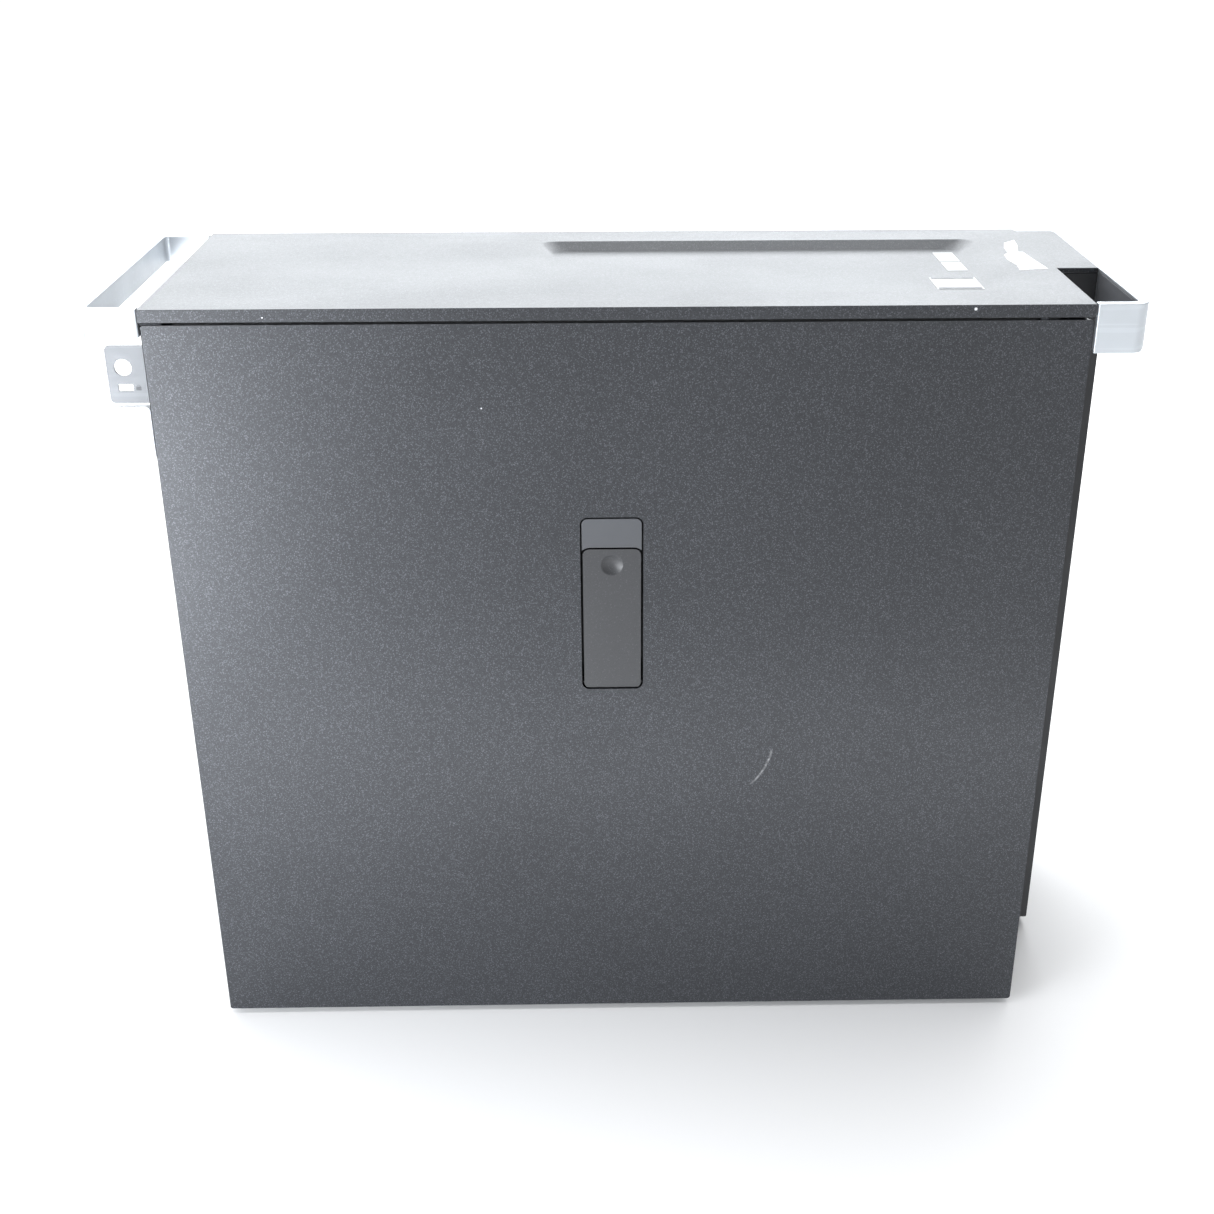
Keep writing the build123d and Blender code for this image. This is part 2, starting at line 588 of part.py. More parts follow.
def make_front_wall():
    """Front wall with its two fan openings and the slots for the disc drive and leads."""
    wall = block((FRAME_NEAR, FRAME_FAR), FRONT_WALL, (FLOOR_TOP, WALL_TOP))
    y = (FRONT_WALL[0] - 1, FRONT_WALL[1] + 1)
    wall -= rod_y(LOWER_FAN[0], y, LOWER_FAN[1], LOWER_FAN_SIZE / 2 - 2.0)
    wall -= rod_y(UPPER_FAN[0], y, UPPER_FAN[1], SMALL_FAN_SIZE / 2 - 2.0)
    for row in range(2):
        for column in range(3):
            left = -58.0 + column * 34.0
            base = 16.0 + row * 42.0
            wall -= slab_y(round_rect((left, left + 28.0), (base, base + 32.0), 4.0), y)
    half_drive = DISC_DRIVE[0] / 2 + 1.0
    drive_z = (DISC_DRIVE_Z - 1.0, DISC_DRIVE_Z + DISC_DRIVE[2] + 1.0)
    wall -= block((DISC_DRIVE_X - half_drive, DISC_DRIVE_X + half_drive), y, drive_z)
    return wall - slab_y(round_rect((48.0, 72.0), (262.0, 292.0), 4.0), y)


def make_board_tray():
    """Upright sheet that carries the main board."""
    tray = block(TRAY_WALL, (-70.0, REAR_WALL[0]), (FLOOR_TOP, WALL_TOP))
    for z in (130.0, 250.0):
        tray -= slab_x(round_rect((-58.0, -30.0), (z, z + 60.0), 8.0), (TRAY_WALL[0] - 1, TRAY_WALL[1] + 1))
    opening = round_rect((72.0, 158.0), (290.0, 374.0), 8.0)
    return tray - slab_x(opening, (TRAY_WALL[0] - 1, TRAY_WALL[1] + 1))


def make_supply_shelf():
    """Shelf over the power supply bay."""
    shelf = block((FRAME_NEAR, TRAY_WALL[0]), (PSU_Y[0] - 2, REAR_WALL[0]), SHELF_Z)
    return shelf + block((FRAME_NEAR, FRAME_NEAR + STEEL), (PSU_Y[0] - 2, REAR_WALL[0]), (88.0, SHELF_Z[0]))


def make_top_frame():
    """Flat ring that ties the walls together under the top cover."""
    z = (WALL_TOP, WALL_TOP + STEEL)
    ring = block((FRAME_NEAR, FRAME_FAR), (FRONT_WALL[0], REAR_WALL[1]), z)
    ring -= block((-50.0, 50.0), (-180.0, 25.0), (z[0] - 1, z[1] + 1))
    ring -= block((-60.0, 60.0), (60.0, 200.0), (z[0] - 1, z[1] + 1))
    return ring + block((FRAME_NEAR, FRAME_NEAR + STEEL), (-216.0, 214.0), (400.0, z[0]))


def make_lock_tab():
    """Steel tab behind the case with a padlock hole and a security slot."""
    x = (FRAME_NEAR, FRAME_NEAR + COVER_SHEET)
    y = (REAR_WALL[0] - COVER_SHEET, 248.7)
    tab = slab_x(round_rect(y, (370.5, 399.3), 2.5), x)
    tab += block((x[1], x[1] + 5.5), (y[0], REAR_WALL[0]), (374.0, 396.0))
    tab -= rod_x((x[0] - 1, x[1] + 1), 240.7, 388.4, 4.3)
    return tab - slab_x(round_rect((236.7, 244.2), (376.55, 380.15), 0.4), (x[0] - 1, x[1] + 1))


# ---------------------------------------------------------------- rear pieces
def make_ribbed_catch():
    """Light thumb catch below the padlock tab, with upright grip ribs on its outer side."""
    catch = slab_x(round_rect((230.2, 250.0), (341.0, 368.6), 2.5), (FRAME_NEAR + 0.2, FRAME_NEAR + 5.0))
    for y in (237.4, 243.6, 249.6):
        groove = block((FRAME_NEAR - 1, FRAME_NEAR + 0.7), (y - 0.5, y + 0.5), (355.0, 370.0))
        catch -= groove
    return catch


def make_rear_ports():
    """Port shells of the main board, in the rear aperture."""
    y = (BOARD_Y[1] - 16.0, REAR_WALL[1] + 0.4)
    ports = []
    for z, height, depth_x in ((388.0, 20.0, 14.0), (362.0, 22.0, 15.0), (336.0, 22.0, 15.0), (310.0, 22.0, 15.0)):
        x = (BOARD_X[0] - 2.0 - depth_x, BOARD_X[0] - 2.0)
        shell = block(x, y, (z - height / 2, z + height / 2))
        for offset in (-height / 4, height / 4):
            mouth = ((x[0] + 1.2, x[1] - 1.2), (y[1] - 9.0, y[1] + 1), (z + offset - 3.2, z + offset + 3.2))
            shell -= block(*mouth)
            tongue = ((x[0] + 2.4, x[1] - 2.4), (y[1] - 9.5, y[1] - 1.0), (z + offset, z + offset + 1.4))
            shell += block(*tongue)
        ports.append(shell)
    for index in range(3):
        z = 290.0 - index * 13.0
        jack = block((BOARD_X[0] - 16.0, BOARD_X[0] - 2.0), y, (z - 6.0, z + 6.0))
        ports.append(jack - rod_y(BOARD_X[0] - 9.0, (y[1] - 12.0, y[1] + 1), z, 1.85))
    return group(ports)


def make_io_shield():
    """Thin plate that fills the port aperture around the ports."""
    shield = block((IO_X[0] - 2, IO_X[1] + 1), (REAR_WALL[0] - 0.5, REAR_WALL[0]), (IO_Z[0] - 2, IO_Z[1] + 2))
    y = (REAR_WALL[0] - 1, REAR_WALL[0] + 1)
    shield -= block((48.0, 63.8), y, (298.6, 398.4))
    shield -= block((49.2, 63.8), y, (257.6, 296.4))
    return shield


def make_slot_retainer():
    """Hinged bar outside the rear wall that holds the card brackets."""
    bar = slab_y(round_rect((-58.0, -44.0), (118.0, 238.0), 2.0), (REAR_WALL[1] + 0.4, REAR_WALL[1] + 4.4))
    bar += rod_z(-61.0, REAR_WALL[1] + 3.9, (118.0, 238.0), 3.4)
    bar += block((-61.0, -57.0), (REAR_WALL[1] + 1.4, REAR_WALL[1] + 4.4), (118.0, 238.0))
    return bar - rod_z(-61.0, REAR_WALL[1] + 3.9, (117.0, 239.0), PIN_R + RUNNING_GAP)


def make_retainer_pin():
    """Pin of the slot retainer, held by two lugs on the rear wall."""
    y = REAR_WALL[1] + 3.9
    pin = rod_z(-61.0, y, (112.0, 244.0), PIN_R)
    for z in ((112.0, 117.5), (238.5, 244.0)):
        pin += block((-64.4, -58.4), (REAR_WALL[1], y + 3.0), z)
    return pin


# ---------------------------------------------------------------- power supply
def make_supply_case():
    """Power supply: pierced steel case with its rear plate, fan ring and finger vents."""
    case = block(PSU_X, PSU_Y, PSU_Z)
    inside = ((PSU_X[0] + 1, PSU_X[1] - 1), (PSU_Y[0] + 1, PSU_Y[1] - 1), (PSU_Z[0] + 1, PSU_Z[1] - 1))
    case -= block(*inside)
    plate = ((PSU_X[0] - 1.5, PSU_X[1] + 1.5), (PSU_Y[1], PSU_Y[1] + STEEL), (PSU_Z[0] - 1, PSU_Z[1] + 1.5))
    case += block(*plate)
    reach = PSU_FAN_SIZE / 2 - 3.0
    centres = hex_centres(
        (PSU_FAN[0] - reach, PSU_FAN[0] + reach),
        (PSU_FAN[1] - reach, PSU_FAN[1] + reach),
        lambda a, b: math.hypot(a - PSU_FAN[0], b - PSU_FAN[1]) < reach - 2.0,
    )
    radius = HEX_FLATS / math.sqrt(3)
    cutters = Sketch() + [Pos(a, b) * RegularPolygon(radius, 6, rotation=30) for a, b in centres]
    case -= slab_y(cutters, (PSU_Y[1] - 2, PSU_Y[1] + 2))
    case -= block((INLET[0] - 13.6, INLET[0] + 13.6), (PSU_Y[1] - 2, PSU_Y[1] + 2), (INLET[1] - 10.1, INLET[1] + 10.1))
    for index in range(10):
        x = -70.0 + index * 13.5
        case -= slab_y(round_rect((x, x + 5.0), (20.0, 78.0), 2.4), (PSU_Y[0] - 1, PSU_Y[0] + 2))
    return case


def make_supply_inlet():
    """Appliance inlet: a socket with three blades in a flanged shell."""
    y = (PSU_Y[1] - 22.0, PSU_Y[1] + STEEL + 1.6)
    shell = block((INLET[0] - 13.4, INLET[0] + 13.4), (y[0], PSU_Y[1] + STEEL), (INLET[1] - 9.9, INLET[1] + 9.9))
    flange = round_rect((INLET[0] - 15.5, INLET[0] + 15.5), (INLET[1] - 12.0, INLET[1] + 12.0), 2.5)
    shell += slab_y(flange, (PSU_Y[1] + STEEL, y[1]))
    shell -= slab_y(round_rect((INLET[0] - 12.0, INLET[0] + 12.0), (INLET[1] - 8.2, INLET[1] + 8.2), 2.5), (y[0] + 5, y[1] + 1))
    for x, z in ((-7.0, -2.0), (0.0, 2.0), (7.0, -2.0)):
        centre = (INLET[0] + x, INLET[1] + z)
        shell += block((centre[0] - 1, centre[0] + 1), (y[0] + 4, y[1] - 5), (centre[1] - 2, centre[1] + 2))
    return shell


def make_supply_handle():
    """Fixed pull loop on the rear plate of the power supply."""
    y = PSU_Y[1] + STEEL
    outer = round_rect((-4.0, 58.0), (y - 10, y + 17.0), 6.0)
    inner = round_rect((1.0, 53.0), (y - 10, y + 13.0), 4.0)
    loop = slab_z(outer - inner, (70.0, 78.0))
    return loop & block((-5.0, 60.0), (y, y + 18), (69.0, 79.0))


def make_supply_release():
    """Thumb latch beside the supply handle."""
    y = PSU_Y[1] + STEEL
    latch = block((46.0, 62.0), (y + 0.3, y + 2.3), (54.0, 64.0))
    return latch + block((48.0, 51.0), (y + 2.3, y + 7.0), (54.0, 64.0))


# ---------------------------------------------------------------- main board
def make_main_board():
    """Main board with its soldered parts."""
    board = block(BOARD_X, BOARD_Y, BOARD_Z)
    face = BOARD_X[0]
    board += block((face - 3.0, face), (94.0, 136.0), (311.0, 353.0))
    board += block((face - 14.0, face), (176.0, 190.0), (290.0, 376.0))
    board += block((face - 9.0, face), (20.0, 44.0), (150.0, 174.0))
    for index in range(8):
        z = 294.0 + index * 10.5
        board += rod_x((face - 12.0, face), 160.0, z, 4.0)
    for index in range(4):
        z = 112.0 + index * 9.0
        board += block((face - 11.0, face), (-14.0, 2.0), (z, z + 7.0))
    board += block((face - 11.0, face), (-14.0, -5.0), (200.0, 252.0))
    return board + block((face - 3.4, face), (60.0, 80.0), (112.0, 124.0))


def make_standoffs():
    """Brass standoffs between the main board and its tray."""
    posts = []
    for y in (0.0, 122.0, 214.0):
        for z in (112.0, 270.0, 400.0):
            posts.append(rod_x((BOARD_X[1], TRAY_WALL[0]), y, z, 3.2))
    return group(posts)


def make_cooler():
    """Processor cooler: base plate, heat pipes and a stack of fins."""
    y, z = COOLER_MID
    cooler = block((BOARD_X[0] - 10.0, BOARD_X[0] - 3.0), (y - 20, y + 20), (z - 20, z + 20))
    for offset_y in (-10.0, 10.0):
        for offset_z in (-12.0, 12.0):
            cooler += rod_x((-20.0, BOARD_X[0] - 9.0), y + offset_y, z + offset_z, 3.0)
    for index in range(18):
        x = -19.0 + index * 2.6
        cooler += block((x, x + 0.7), (y - 20, y + 20), (z - 40, z + 40))
    return cooler


def make_memory_places():
    """Heights of the memory sockets, above and below the processor."""
    return [256.0 + 7.6 * index for index in range(4)] + [379.6 + 7.6 * index for index in range(4)]


def make_board_sockets():
    """Slotted sockets on the main board, for the memory modules and for the cards."""
    face = BOARD_X[0]
    sockets = []
    for z in make_memory_places():
        socket = block((face - 8.0, face), (32.0, 172.0), (z - 2.6, z + 2.6))
        sockets.append(socket - block((face - 9.0, face - 3.0), (35.4, 168.6), (z - 0.7, z + 0.7)))
    for index in range(SLOT_COUNT - 1):
        z = slot_z(index)
        socket = block((face - 11.0, face), (70.0, 160.0), (z - 3.6, z + 3.6))
        sockets.append(socket - block((face - 12.0, face - 3.0), (73.0, 157.0), (z - 1.0, z + 1.0)))
    return group(sockets)


def make_memory_modules():
    """Memory modules with a row of chips on each face."""
    face = BOARD_X[0]
    modules = []
    for z in make_memory_places():
        module = block((face - 34.0, face - 3.2), (35.5, 168.5), (z - 0.6, z + 0.6))
        for index in range(8):
            y = 42.0 + index * 15.5
            module += block((face - 29.0, face - 14.0), (y, y + 10.0), (z - 1.7, z + 1.7))
        modules.append(module)
    return group(modules)


# ---------------------------------------------------------------- graphics card
CARD_Z = TOP_SLOT_Z - CARD_SLOT * SLOT_PITCH
CARD_FAN = (2.0, 118.0)


def make_card_board():
    """Graphics card's circuit board."""
    board = block((-46.0, 54.0), (26.0, REAR_WALL[0] - STEEL), (CARD_Z - 0.8, CARD_Z + 0.8))
    return board + block((53.0, 61.6), (74.0, 156.0), (CARD_Z - 0.8, CARD_Z + 0.8))


def make_card_shroud():
    """Graphics card's cover with its round fan opening."""
    top = CARD_Z - 0.8
    shroud = slab_z(round_rect((-45.0, 50.0), (28.0, 222.0), 4.0), (top - 34.0, top))
    shroud -= slab_z(round_rect((-43.0, 48.0), (30.0, 220.0), 3.0), (top - 32.0, top + 1))
    shroud -= rod_z(CARD_FAN[0], CARD_FAN[1], (top - 35, top - 31), 36.0)
    return shroud


def make_slot_brackets():
    """Blank brackets over the unused card slots, and the graphics card's wide bracket."""
    y = (REAR_WALL[0] - STEEL, REAR_WALL[0])
    brackets = []
    for index in range(SLOT_COUNT):
        if index in (CARD_SLOT, CARD_SLOT + 1):
            continue
        brackets.append(block((-61.0, 59.0), y, (slot_z(index) - 9.2, slot_z(index) + 9.2)))
    wide = block((-61.0, 59.0), y, (slot_z(CARD_SLOT + 1) - 9.2, CARD_Z + 9.2))
    for z in (CARD_Z + 2.5, CARD_Z - 18.0):
        for index in range(2):
            x = -20.0 + index * 32.0
            wide -= block((x, x + 20.0), (y[0] - 1, y[1] + 1), (z - 1.5, z + 4.0))
    brackets.append(wide)
    return group(brackets)


def make_card_rotor():
    """Blower wheel of the graphics card."""
    low = CARD_Z - 32.0
    wheel = rod_z(0, 0, (0, 12.0), 14.0) + rod_z(0, 0, (0, 1.4), 33.0)
    for index in range(15):
        blade = Pos(23.5, 0, 6.5) * Rot(0, 0, 18) * Box(20.0, 1.2, 10.6)
        wheel += Rot(0, 0, index * 24.0) * blade
    return Pos(CARD_FAN[0], CARD_FAN[1], low + 2.0) * wheel


# ---------------------------------------------------------------- drives
def make_drive_cage():
    """Steel cage for the drives on the floor of the case."""
    x = (DRIVE_BAY_X[0] - 3.5, DRIVE_BAY_X[1] + 3.5)
    cage = block(x, DRIVE_BAY_Y, (FLOOR_TOP, 96.0))
    cage -= block((x[0] + 1, x[1] - 1), (DRIVE_BAY_Y[0] - 1, DRIVE_BAY_Y[1] + 1), (FLOOR_TOP - 1, 95.0))
    for index in range(3):
        y = -205.0 + index * 46.0
        cage -= slab_x(round_rect((y, y + 32.0), (24.0, 78.0), 6.0), (x[0] - 1, x[1] + 1))
    return cage


def make_drive_carriers():
    """Plastic carriers that hold the drives in the cage."""
    carriers = []
    for low in DRIVE_LEVELS:
        z = (low - 3.0, low + 22.0)
        x = (DRIVE_BAY_X[0] - 2.3, DRIVE_BAY_X[1] + 2.3)
        y = (DRIVE_BAY_Y[0] + 0.5, DRIVE_BAY_Y[1] - 0.5)
        carrier = block(x, y, z)
        drive_x = (-9.0 - DRIVE_SIZE[0] / 2, -9.0 + DRIVE_SIZE[0] / 2)
        carrier -= block(drive_x, (y[0] + 2.0, y[1] + 1), (low, z[1] + 1))
        carrier -= block((drive_x[0] + 12, drive_x[1] - 12), (y[0] + 20, y[1] + 1), (z[0] - 1, low + 1))
        carriers.append(carrier)
    return group(carriers)


def make_hard_drives():
    """Two hard drives with a raised lid each."""
    drives = []
    for low in DRIVE_LEVELS:
        y = (DRIVE_BAY_Y[0] + 2.5, DRIVE_BAY_Y[0] + 2.5 + DRIVE_SIZE[1])
        x = (-9.0 - DRIVE_SIZE[0] / 2, -9.0 + DRIVE_SIZE[0] / 2)
        drive = block(x, y, (low, low + DRIVE_SIZE[2] - 1.5))
        lid = round_rect((x[0] + 3, x[1] - 3), (y[0] + 3, y[1] - 20), 9.0)
        drives.append(drive + slab_z(lid, (low + DRIVE_SIZE[2] - 1.5, low + DRIVE_SIZE[2])))
    return group(drives)


# ---------------------------------------------------------------- leads
def make_supply_dock():
    """Docking board that the power supply plugs into when it is pushed home."""
    board = block((-60.0, 60.0), (52.0, 53.6), (FLOOR_TOP, 84.0))
    return board + block((-40.0, 20.0), (53.6, 61.6), (10.0, 18.0))


def lead_radii(points):
    """Largest arc at each inner point that leaves its two runs room for their other arcs."""
    radii = []
    for before, here, after in zip(points, points[1:], points[2:]):
        run_in = Vector(*here) - Vector(*before)
        run_out = Vector(*after) - Vector(*here)
        half_turn = math.radians(run_in.get_angle(run_out)) / 2
        radius = 0.45 * min(run_in.length, run_out.length) / math.tan(half_turn)
        radii.append(min(round(radius, 1), LARGEST_LEAD_RADIUS))
    return radii


def make_lead(points, diameter):
    """A round lead along straight runs joined by tangent arcs."""
    radii = lead_radii(points)
    path = FilletPolyline(*points, radius=radii)
    start = Plane(origin=path @ 0, z_dir=path % 0)
    lead = sweep(start * Circle(diameter / 2), path=path)
    section = math.pi * diameter ** 2 / 4
    ratio = lead.volume / (section * path.length)
    print(f"lead {diameter} mm: length {path.length:.1f}, volume ratio {ratio:.4f}, radii {radii}")
    return lead


def make_main_lead():
    """Main power lead, from the docking board round the tray to the board's front edge."""
    points = [
        (46.0, 52.0, 60.0), (46.0, 34.0, 60.0), (52.0, 4.0, 66.0), (60.0, -34.0, 92.0),
        (60.0, -46.0, 140.0), (59.0, -44.0, 188.0), (58.0, -34.0, 226.0), (58.0, -14.2, 226.0),
    ]
    return make_lead(points, MAIN_LEAD_DIAMETER)


def make_data_lead():
    """Data lead from the drives to the board's lower edge."""
    points = [
        (-20.0, -72.4, 33.0), (-20.0, -58.0, 33.0), (10.0, -42.0, 52.0),
        (44.0, -36.0, 90.0), (60.0, -32.0, 116.0), (60.0, -14.2, 116.0),
    ]
    return make_lead(points, THIN_LEAD_DIAMETER)


def make_panel_lead():
    """Lead from the front board through the front wall to the main board."""
    points = [
        (60.0, FRONT + 13.6, 277.0), (60.0, FRONT + 40.0, 277.0), (60.0, -190.0, 270.0),
        (56.0, -150.0, 240.0), (58.0, -100.0, 200.0), (61.0, -50.0, 143.5), (60.0, -14.2, 143.5),
    ]
    return make_lead(points, THIN_LEAD_DIAMETER)


# ---------------------------------------------------------------- fasteners and small pieces
def make_case_screws():
    """Pan-head screws outside the rear wall: four at the fan and three along the far edge."""
    offset = SMALL_FAN_SIZE / 2 - 5.0
    places = [(REAR_FAN[0] + x, REAR_FAN[1] + z) for x in (-offset, offset) for z in (-offset, offset)]
    places += [(80.0, z) for z in (60.0, 230.0, 380.0)]
    screws = []
    for x, z in places:
        head = rod_y(x, (REAR_WALL[1], REAR_WALL[1] + 1.8), z, 3.2)
        cross = block((x - 2.0, x + 2.0), (REAR_WALL[1] + 1.0, REAR_WALL[1] + 2.0), (z - 0.4, z + 0.4))
        cross += block((x - 0.4, x + 0.4), (REAR_WALL[1] + 1.0, REAR_WALL[1] + 2.0), (z - 2.0, z + 2.0))
        screws.append(head - cross)
    return group(screws)


def along_y(shape, place, y):
    """Turn a part made along +Z so that it points along +Y, at a place in X and Z."""
    return Pos(place[0], y, place[1]) * Rot(-90, 0, 0) * shape


def make_parts():
    """All nodes by name."""
    front_y = FRONT_WALL[1]
    rear_y = REAR_WALL[0] - FAN_DEPTH
    cooler_fan_y = COOLER_MID[0] - 20.0 - FAN_DEPTH
    cooler_fan = (3.0, COOLER_MID[1])
    supply_fan_y = PSU_Y[1] - 1.0 - FAN_DEPTH
    frames = [
        along_y(fan_frame(LOWER_FAN_SIZE, 20.0), LOWER_FAN, front_y),
        along_y(fan_frame(SMALL_FAN_SIZE, 18.0), UPPER_FAN, front_y),
        along_y(fan_frame(SMALL_FAN_SIZE, 18.0), REAR_FAN, rear_y),
        along_y(fan_frame(COOLER_FAN_SIZE, 16.0), cooler_fan, cooler_fan_y),
    ]
    return {
        "side_cover": make_side_cover(),
        "latch_housing": make_latch_housing(),
        "latch_lever": make_latch_lever(),
        "latch_button": make_latch_button(),
        "latch_spring": make_latch_spring(),
        "top_cover": make_top_cover(),
        "far_side_cover": make_far_cover(),
        "front_handle": make_front_handle(),
        "front_grip_liner": make_liner(),
        "front_module_trim": make_module_trim(),
        "rear_handle": make_rear_handle(),
        "front_column": make_front_column(),
        "column_grille": make_column_grille(),
        "recess_bezel": make_recess_bezel(),
        "recess_grille": make_recess_grille(),
        "power_button": make_power_button(),
        "front_ports": make_front_ports(),
        "front_io_board": make_io_board(),
        "disc_drive_case": make_disc_drive_case(),
        "disc_tray": make_disc_tray(),
        "eject_button": make_eject_button(),
        "base_pan": make_base_pan(),
        "rubber_feet": make_feet(),
        "rear_wall": make_rear_wall(),
        "front_wall": make_front_wall(),
        "board_tray": make_board_tray(),
        "supply_shelf": make_supply_shelf(),
        "top_frame": make_top_frame(),
        "lock_tab": make_lock_tab(),
        "ribbed_catch": make_ribbed_catch(),
        "rear_ports": make_rear_ports(),
        "io_shield": make_io_shield(),
        "slot_brackets": make_slot_brackets(),
        "slot_retainer": make_slot_retainer(),
        "retainer_pin": make_retainer_pin(),
        "supply_case": make_supply_case(),
        "supply_fan_frame": along_y(fan_frame(PSU_FAN_SIZE, 13.0), PSU_FAN, supply_fan_y),
        "supply_fan_rotor": along_y(fan_rotor(PSU_FAN_SIZE, 13.0, 7), PSU_FAN, supply_fan_y),
        "supply_inlet": make_supply_inlet(),
        "supply_handle": make_supply_handle(),
        "supply_release": make_supply_release(),
        "supply_dock": make_supply_dock(),
        "main_board": make_main_board(),
        "board_standoffs": make_standoffs(),
        "board_sockets": make_board_sockets(),
        "cooler": make_cooler(),
        "cooler_fan_rotor": along_y(fan_rotor(COOLER_FAN_SIZE, 16.0, 7), cooler_fan, cooler_fan_y),
        "memory_modules": make_memory_modules(),
        "card_board": make_card_board(),
        "card_shroud": make_card_shroud(),
        "card_rotor": make_card_rotor(),
        "fan_frames": group(frames),
        "lower_fan_rotor": along_y(fan_rotor(LOWER_FAN_SIZE, 20.0, 7), LOWER_FAN, front_y),
        "upper_fan_rotor": along_y(fan_rotor(SMALL_FAN_SIZE, 18.0, 7), UPPER_FAN, front_y),
        "rear_fan_rotor": along_y(fan_rotor(SMALL_FAN_SIZE, 18.0, 7), REAR_FAN, rear_y),
        "drive_cage": make_drive_cage(),
        "drive_carriers": make_drive_carriers(),
        "hard_drives": make_hard_drives(),
        "inner_leads": group([make_main_lead(), make_data_lead(), make_panel_lead()]),
        "case_screws": make_case_screws(),
    }


os.makedirs("parts", exist_ok=True)
PARTS = make_parts()
for name, shape in PARTS.items():
    export_step(shape, f"parts/{name}.step")
print(len(PARTS), "nodes")
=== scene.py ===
"""Looks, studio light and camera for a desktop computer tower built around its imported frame."""

import json
import logging
import math
from dataclasses import dataclass, field
from enum import Enum

import bmesh
import bpy
from mathutils import Matrix, Vector


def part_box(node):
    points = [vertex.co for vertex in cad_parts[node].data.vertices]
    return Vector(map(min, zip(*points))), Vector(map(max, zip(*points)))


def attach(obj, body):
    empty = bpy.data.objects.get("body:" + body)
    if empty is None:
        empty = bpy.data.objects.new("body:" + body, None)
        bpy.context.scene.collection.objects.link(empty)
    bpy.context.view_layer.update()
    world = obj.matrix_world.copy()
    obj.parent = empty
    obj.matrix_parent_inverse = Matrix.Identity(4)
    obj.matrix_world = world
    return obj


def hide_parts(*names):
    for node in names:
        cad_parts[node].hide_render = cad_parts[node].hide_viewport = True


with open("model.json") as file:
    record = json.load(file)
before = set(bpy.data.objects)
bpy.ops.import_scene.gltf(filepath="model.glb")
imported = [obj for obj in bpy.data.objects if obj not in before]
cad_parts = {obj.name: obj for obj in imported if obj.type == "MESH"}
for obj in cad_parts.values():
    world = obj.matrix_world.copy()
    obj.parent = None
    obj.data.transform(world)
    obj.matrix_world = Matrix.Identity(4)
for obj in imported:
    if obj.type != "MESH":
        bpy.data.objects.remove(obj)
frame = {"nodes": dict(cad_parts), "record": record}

LOG = logging.getLogger("tower")
MM = 0.001
WELD = 1e-6
FLAT_ANGLE = math.radians(0.6)
SHARP_ANGLE = math.radians(38.0)
SMOOTH_ANGLE = math.radians(52.0)
FOLD_ANGLE = math.radians(150.0)
ROOM_SHARE = 2.2
EASE_SHARES = (1.0, 0.6, 0.4, 0.25, 0.15, 0.0)
Colour = tuple[float, float, float]
Point = tuple[float, float, float]


class Metal(Enum):
    """How a metal surface was finished."""

    BEAD_BLASTED = "bead blasted"
    ROLLED = "rolled"
    SPANGLED = "spangled"
    DRAWN = "drawn"


class Moulding(Enum):
    """How a moulded surface was finished."""

    FINE_GRAIN = "fine grain"
    SATIN = "satin"
    POLISHED = "polished"


